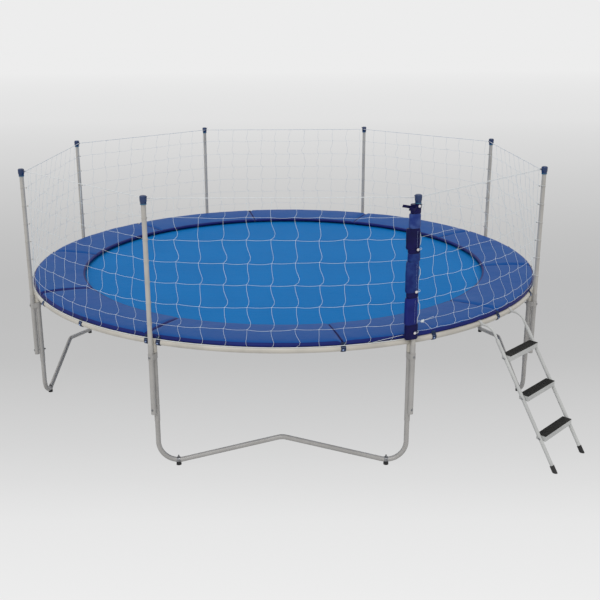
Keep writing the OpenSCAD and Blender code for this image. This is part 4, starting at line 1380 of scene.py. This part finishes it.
@dataclass
class EntrySleeve:
    """Padded sleeve round the entry pole, sewn from several lengths of coated cloth."""

    inner_r: float = 16.4 * MM
    sides: int = 40
    step: float = 9 * MM
    crease: float = 0.06
    draw_in: float = 0.07
    draw_reach: float = 7 * MM
    fullest: float = 1.015
    gap: float = 0.4 * MM
    strap_z: float = 1.826
    parts: tuple[SleevePart, ...] = (
        # The foot is navy, partly as painted shade at the sleeve's bottom.
        SleevePart("foot", 0.938, 1.040, 94, 47, -19, Look.NAVY_AND_SHADE),
        SleevePart("lower", 1.040, 1.222, 91, 46, -25, Look.SLEEVE, -9.5),
        # The band is navy as painted shadow in the crease round the button.
        SleevePart("band", 1.222, 1.259, 84, 45, -21, Look.NAVY_AND_SHADE),
        SleevePart("panel", 1.259, 1.467, 91, 47.5, -26, Look.SLEEVE_PANEL, -6, 15),
        SleevePart("waist", 1.467, 1.520, 86, 45, -18, Look.SLEEVE_PANEL),
        SleevePart("belt", 1.520, 1.550, 86, 44, -20, Look.NAVY_AND_SHADE),
        SleevePart("chest", 1.550, 1.685, 96, 47.5, -28.5, Look.NAVY_AND_SHADE, -10.5),
        SleevePart("collar", 1.685, 1.780, 79, 46, -20.5, Look.SLEEVE_COLLAR),
        SleevePart("neck", 1.780, 1.8415, 72, 45, -16.5, Look.NAVY_AND_SHADE),
    )

    def build(self) -> None:
        """Makes every length of the sleeve and the strap at its neck."""
        for number, part in enumerate(self.parts):
            piece = self.length(part, number).make(
                f"sleeve_{part.name}", [part.look, Look.THREAD], Slot.SLEEVE, ["entry_sleeve"], sharp=60)
        self.neck_strap().make("sleeve_strap", [Look.NAVY_AND_SHADE], Slot.SLEEVE)

    def length(self, part: SleevePart, seed: int) -> Shape:
        """Makes one length of the sleeve, drawn in at its seams.

        Args:
            part: The length's sizes.
            seed: Sets its creases apart from its neighbours'.

        Returns:
            The sleeve length, with its stitches as part 1.
        """
        face, low, high = part.depth * MM / 2, part.low + self.gap, part.high - self.gap
        tall = part.high - part.low
        rings = []
        for t in even(0.0, 1.0, max(8, round(tall / self.step))):
            height = low + (high - low) * t
            shrink = self.draw_in * (1 - ease(min(t, 1 - t) * tall, 0, self.draw_reach))
            ring = []
            for a in circle(self.sides):
                crease = drift(cos(a) * 1.3, sin(a) * 1.3, height * 26 + seed * 7)
                scale = min(1 - shrink + crease * self.crease, self.fullest)
                out, across = oblong(a, face, (part.width - part.depth) * MM / 2)
                ring.append(beside_entry(out * scale, across * scale + part.shift * MM, height))
            rings.append(ring)
        for height in (high, low):
            rings.append([beside_entry(*oblong(a, self.inner_r, 0.0), height) for a in circle(self.sides)])
        shape = Shape()
        shape.loft(rings, loop=True)
        if part.seam is not None:
            shape.part = 1
            low, high = part.low + part.margin * MM, part.high - part.margin * MM
            for z in even(low, high, round((high - low) / self.step))[:-1]:
                shape.tube([beside_entry(face + d * MM, part.seam * MM, z + e * MM)
                            for d, e in ((-1.4, 0), (0.5, 1), (0.5, 5), (-1.4, 6))], 0.7 * MM, 4)
        return shape

    def neck_strap(self) -> Shape:
        """Makes the short strap that is wrapped round the neck.

        Returns:
            The strap, with its two ends sticking out beside the sleeve.
        """
        shape = Shape()
        wrap = []
        for a in circle(32):
            out, across = oblong(a, 24 * MM, 12.5 * MM)
            wrap.append(beside_entry(out, across - 14 * MM, self.strap_z + 2 * MM * sin(2 * a)))
        shape.band(wrap, UP, 20 * MM, 2.2 * MM, loop=True)
        lean = (UP + polar(POLES[ENTRY], 0.5, 0.0)).normalized()
        for width, lay in ((21, ((26, -24, -3), (33, -44, -2), (33, -70, 3), (29, -100, 10), (24, -128, 15))),
                           (30, ((24, -26, -9), (35, -44, -12), (38, -62, -10), (33, -84, -3)))):
            tail = [beside_entry(x * MM, y * MM, self.strap_z + z * MM) for x, y, z in lay]
            shape.band(smooth_path(tail, 4), lean, width * MM, 3 * MM)
        return shape


@dataclass
class CapTrim:
    """Rims, side knobs and small ears on the plastic pole caps."""

    rim_z: float = 1.845
    rim_r: float = 19.9 * MM
    knob_turn: float = 62.0
    knob_z: tuple[float, ...] = (1.884, 1.866)
    knob: tuple[tuple[float, float], ...] = ((19, 3.6), (23.5, 3.6), (25.5, 2.8), (26.4, 1.0))
    ear_z: float = 1.886
    ear: tuple[tuple[float, float], ...] = ((19, 2), (25, 4), (30, 7), (31, 11))

    def build(self) -> None:
        """Makes the trim of all caps."""
        rims, knobs = Shape(), Shape()
        for i, az in enumerate(POLES):
            side = 1 if i % 2 else -1
            rims.band([polar(az, POLE_R + self.rim_r * cos(a), self.rim_z, self.rim_r * sin(a))
                       for a in circle(40)], UP, 6 * MM, 2.6 * MM, loop=True)
            a = radians(-side * self.knob_turn)
            for height in self.knob_z:
                knobs.tube([polar(az, POLE_R + r * MM * cos(a), height, r * MM * sin(a))
                            for r, _ in self.knob], [size * MM for _, size in self.knob], 12)
            ear = [polar(az, POLE_R + 3 * MM, self.ear_z + z * MM, -side * y * MM) for y, z in self.ear]
            knobs.tube(smooth_path(ear, 4), 2.0 * MM, 8)
        rims.make("cap_rims", [Look.RIM], Slot.CAP)
        knobs.make("cap_knobs", [Look.CAP], Slot.CAP)


# ---------------------------------------------------------------- studio and main


@dataclass
class Studio:
    """Pale floor, soft light and the camera."""

    camera_at: tuple[float, float, float] = (0.060, -7.186, 2.876)
    tilt: float = 15.4
    roll: float = 0.32
    turn: float = 0.42
    lens: float = 50.24
    shift: tuple[float, float] = (0.0281, -0.0588)
    sky: float = 0.74
    sun: float = 0.85
    sun_width: float = 35.0
    sun_turn: tuple[float, float] = (38.0, -14.0)
    grey: int = 237
    floor_half: float = 160.0
    floor_drop: float = 0.4 * MM
    sensor: float = 36.0
    sight: float = 400.0

    def build(self) -> None:
        """Makes the floor, the light, the world and the camera."""
        self.floor()
        self.light()
        self.camera()
        bpy.context.scene.view_settings.view_transform = "Standard"

    def floor(self) -> None:
        """Makes the floor, just under the feet."""
        mesh = bpy.data.meshes.new("studio_floor")
        corners = [(x * self.floor_half, y * self.floor_half, -self.floor_drop)
                   for x, y in ((-1, -1), (1, -1), (1, 1), (-1, 1))]
        mesh.from_pydata(corners, [], [(0, 1, 2, 3)])
        mesh.materials.append(StudioFloor().material())
        place("studio_floor", mesh)

    def light(self) -> None:
        """Makes one wide, soft key light from the front left, and an even pale sky all round."""
        data = bpy.data.lights.new("key_light", "SUN")
        data.energy, data.angle = self.sun, radians(self.sun_width)
        place("key_light", data).rotation_euler = (*map(radians, self.sun_turn), 0)
        g = Graph(bpy.data.worlds.new("studio_world"), "ShaderNodeOutputWorld")
        sky, backdrop = (g.add("ShaderNodeBackground", inputs={"Color": colour, "Strength": strength})
                         for colour, strength in (((1.0, 1.0, 1.0), self.sky), (tone((self.grey,) * 3), 1.0)))
        seen = g.rays("Is Camera Ray", "Is Glossy Ray")
        bpy.context.scene.world = g.show(g.add("ShaderNodeMixShader", inputs={0: seen, 1: sky, 2: backdrop}))

    def camera(self) -> None:
        """Makes the camera."""
        data = bpy.data.cameras.new("camera")
        data.lens, data.sensor_width, data.clip_end = self.lens, self.sensor, self.sight
        data.shift_x, data.shift_y = self.shift
        camera = place("camera", data)
        camera.location = self.camera_at
        camera.rotation_euler = tuple(map(radians, (90 - self.tilt, self.roll, self.turn)))
        bpy.context.scene.camera = camera


def dress_frame() -> None:
    """Gives the CAD nodes that stay in view their finish."""
    looks = {
        Look.FRAME: ("ring_tubes", "leg_sockets"),
        Look.LEGS: ("leg_uprights", "leg_base_front", "leg_base_right", "leg_base_back", "leg_base_left",
                    "pole_lower_tubes", "pole_clamps"),
        Look.POLES: ("pole_upper_tubes", "net_ties"),
        Look.LADDER: ("ladder_hook_left", "ladder_hook_right", "ladder_stile_left", "ladder_stile_right",
                      "ladder_step_1", "ladder_step_2", "ladder_step_3"),
        Look.ZINC: ("ring_spigots", "foot_clamps", "foot_bolts", "pole_bolts", "ladder_bolts"),
        Look.RUBBER: ("rubber_feet", "ladder_feet"),
        Look.GRIP: ("step_tread_1", "step_tread_2", "step_tread_3"),
        Look.CAP: ("pole_caps",),
        Look.ROPE: ("net_top_rope", "net_bottom_rope", "entry_hinge_loops"),
        Look.TOGGLE: ("entry_toggles",),
    }
    for look, nodes in looks.items():
        for node in nodes:
            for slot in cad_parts[node].material_slots:
                slot.material = look.material()


def main() -> None:
    """Builds the whole scene in order."""
    logging.basicConfig(level=logging.INFO, format="%(message)s")
    Studio().build()
    dress_frame()
    for assembly in (SpringBed(), EdgePad(), CordNet(), EntrySleeve(), CapTrim()):
        assembly.build()


if __name__ == "__main__":
    main()
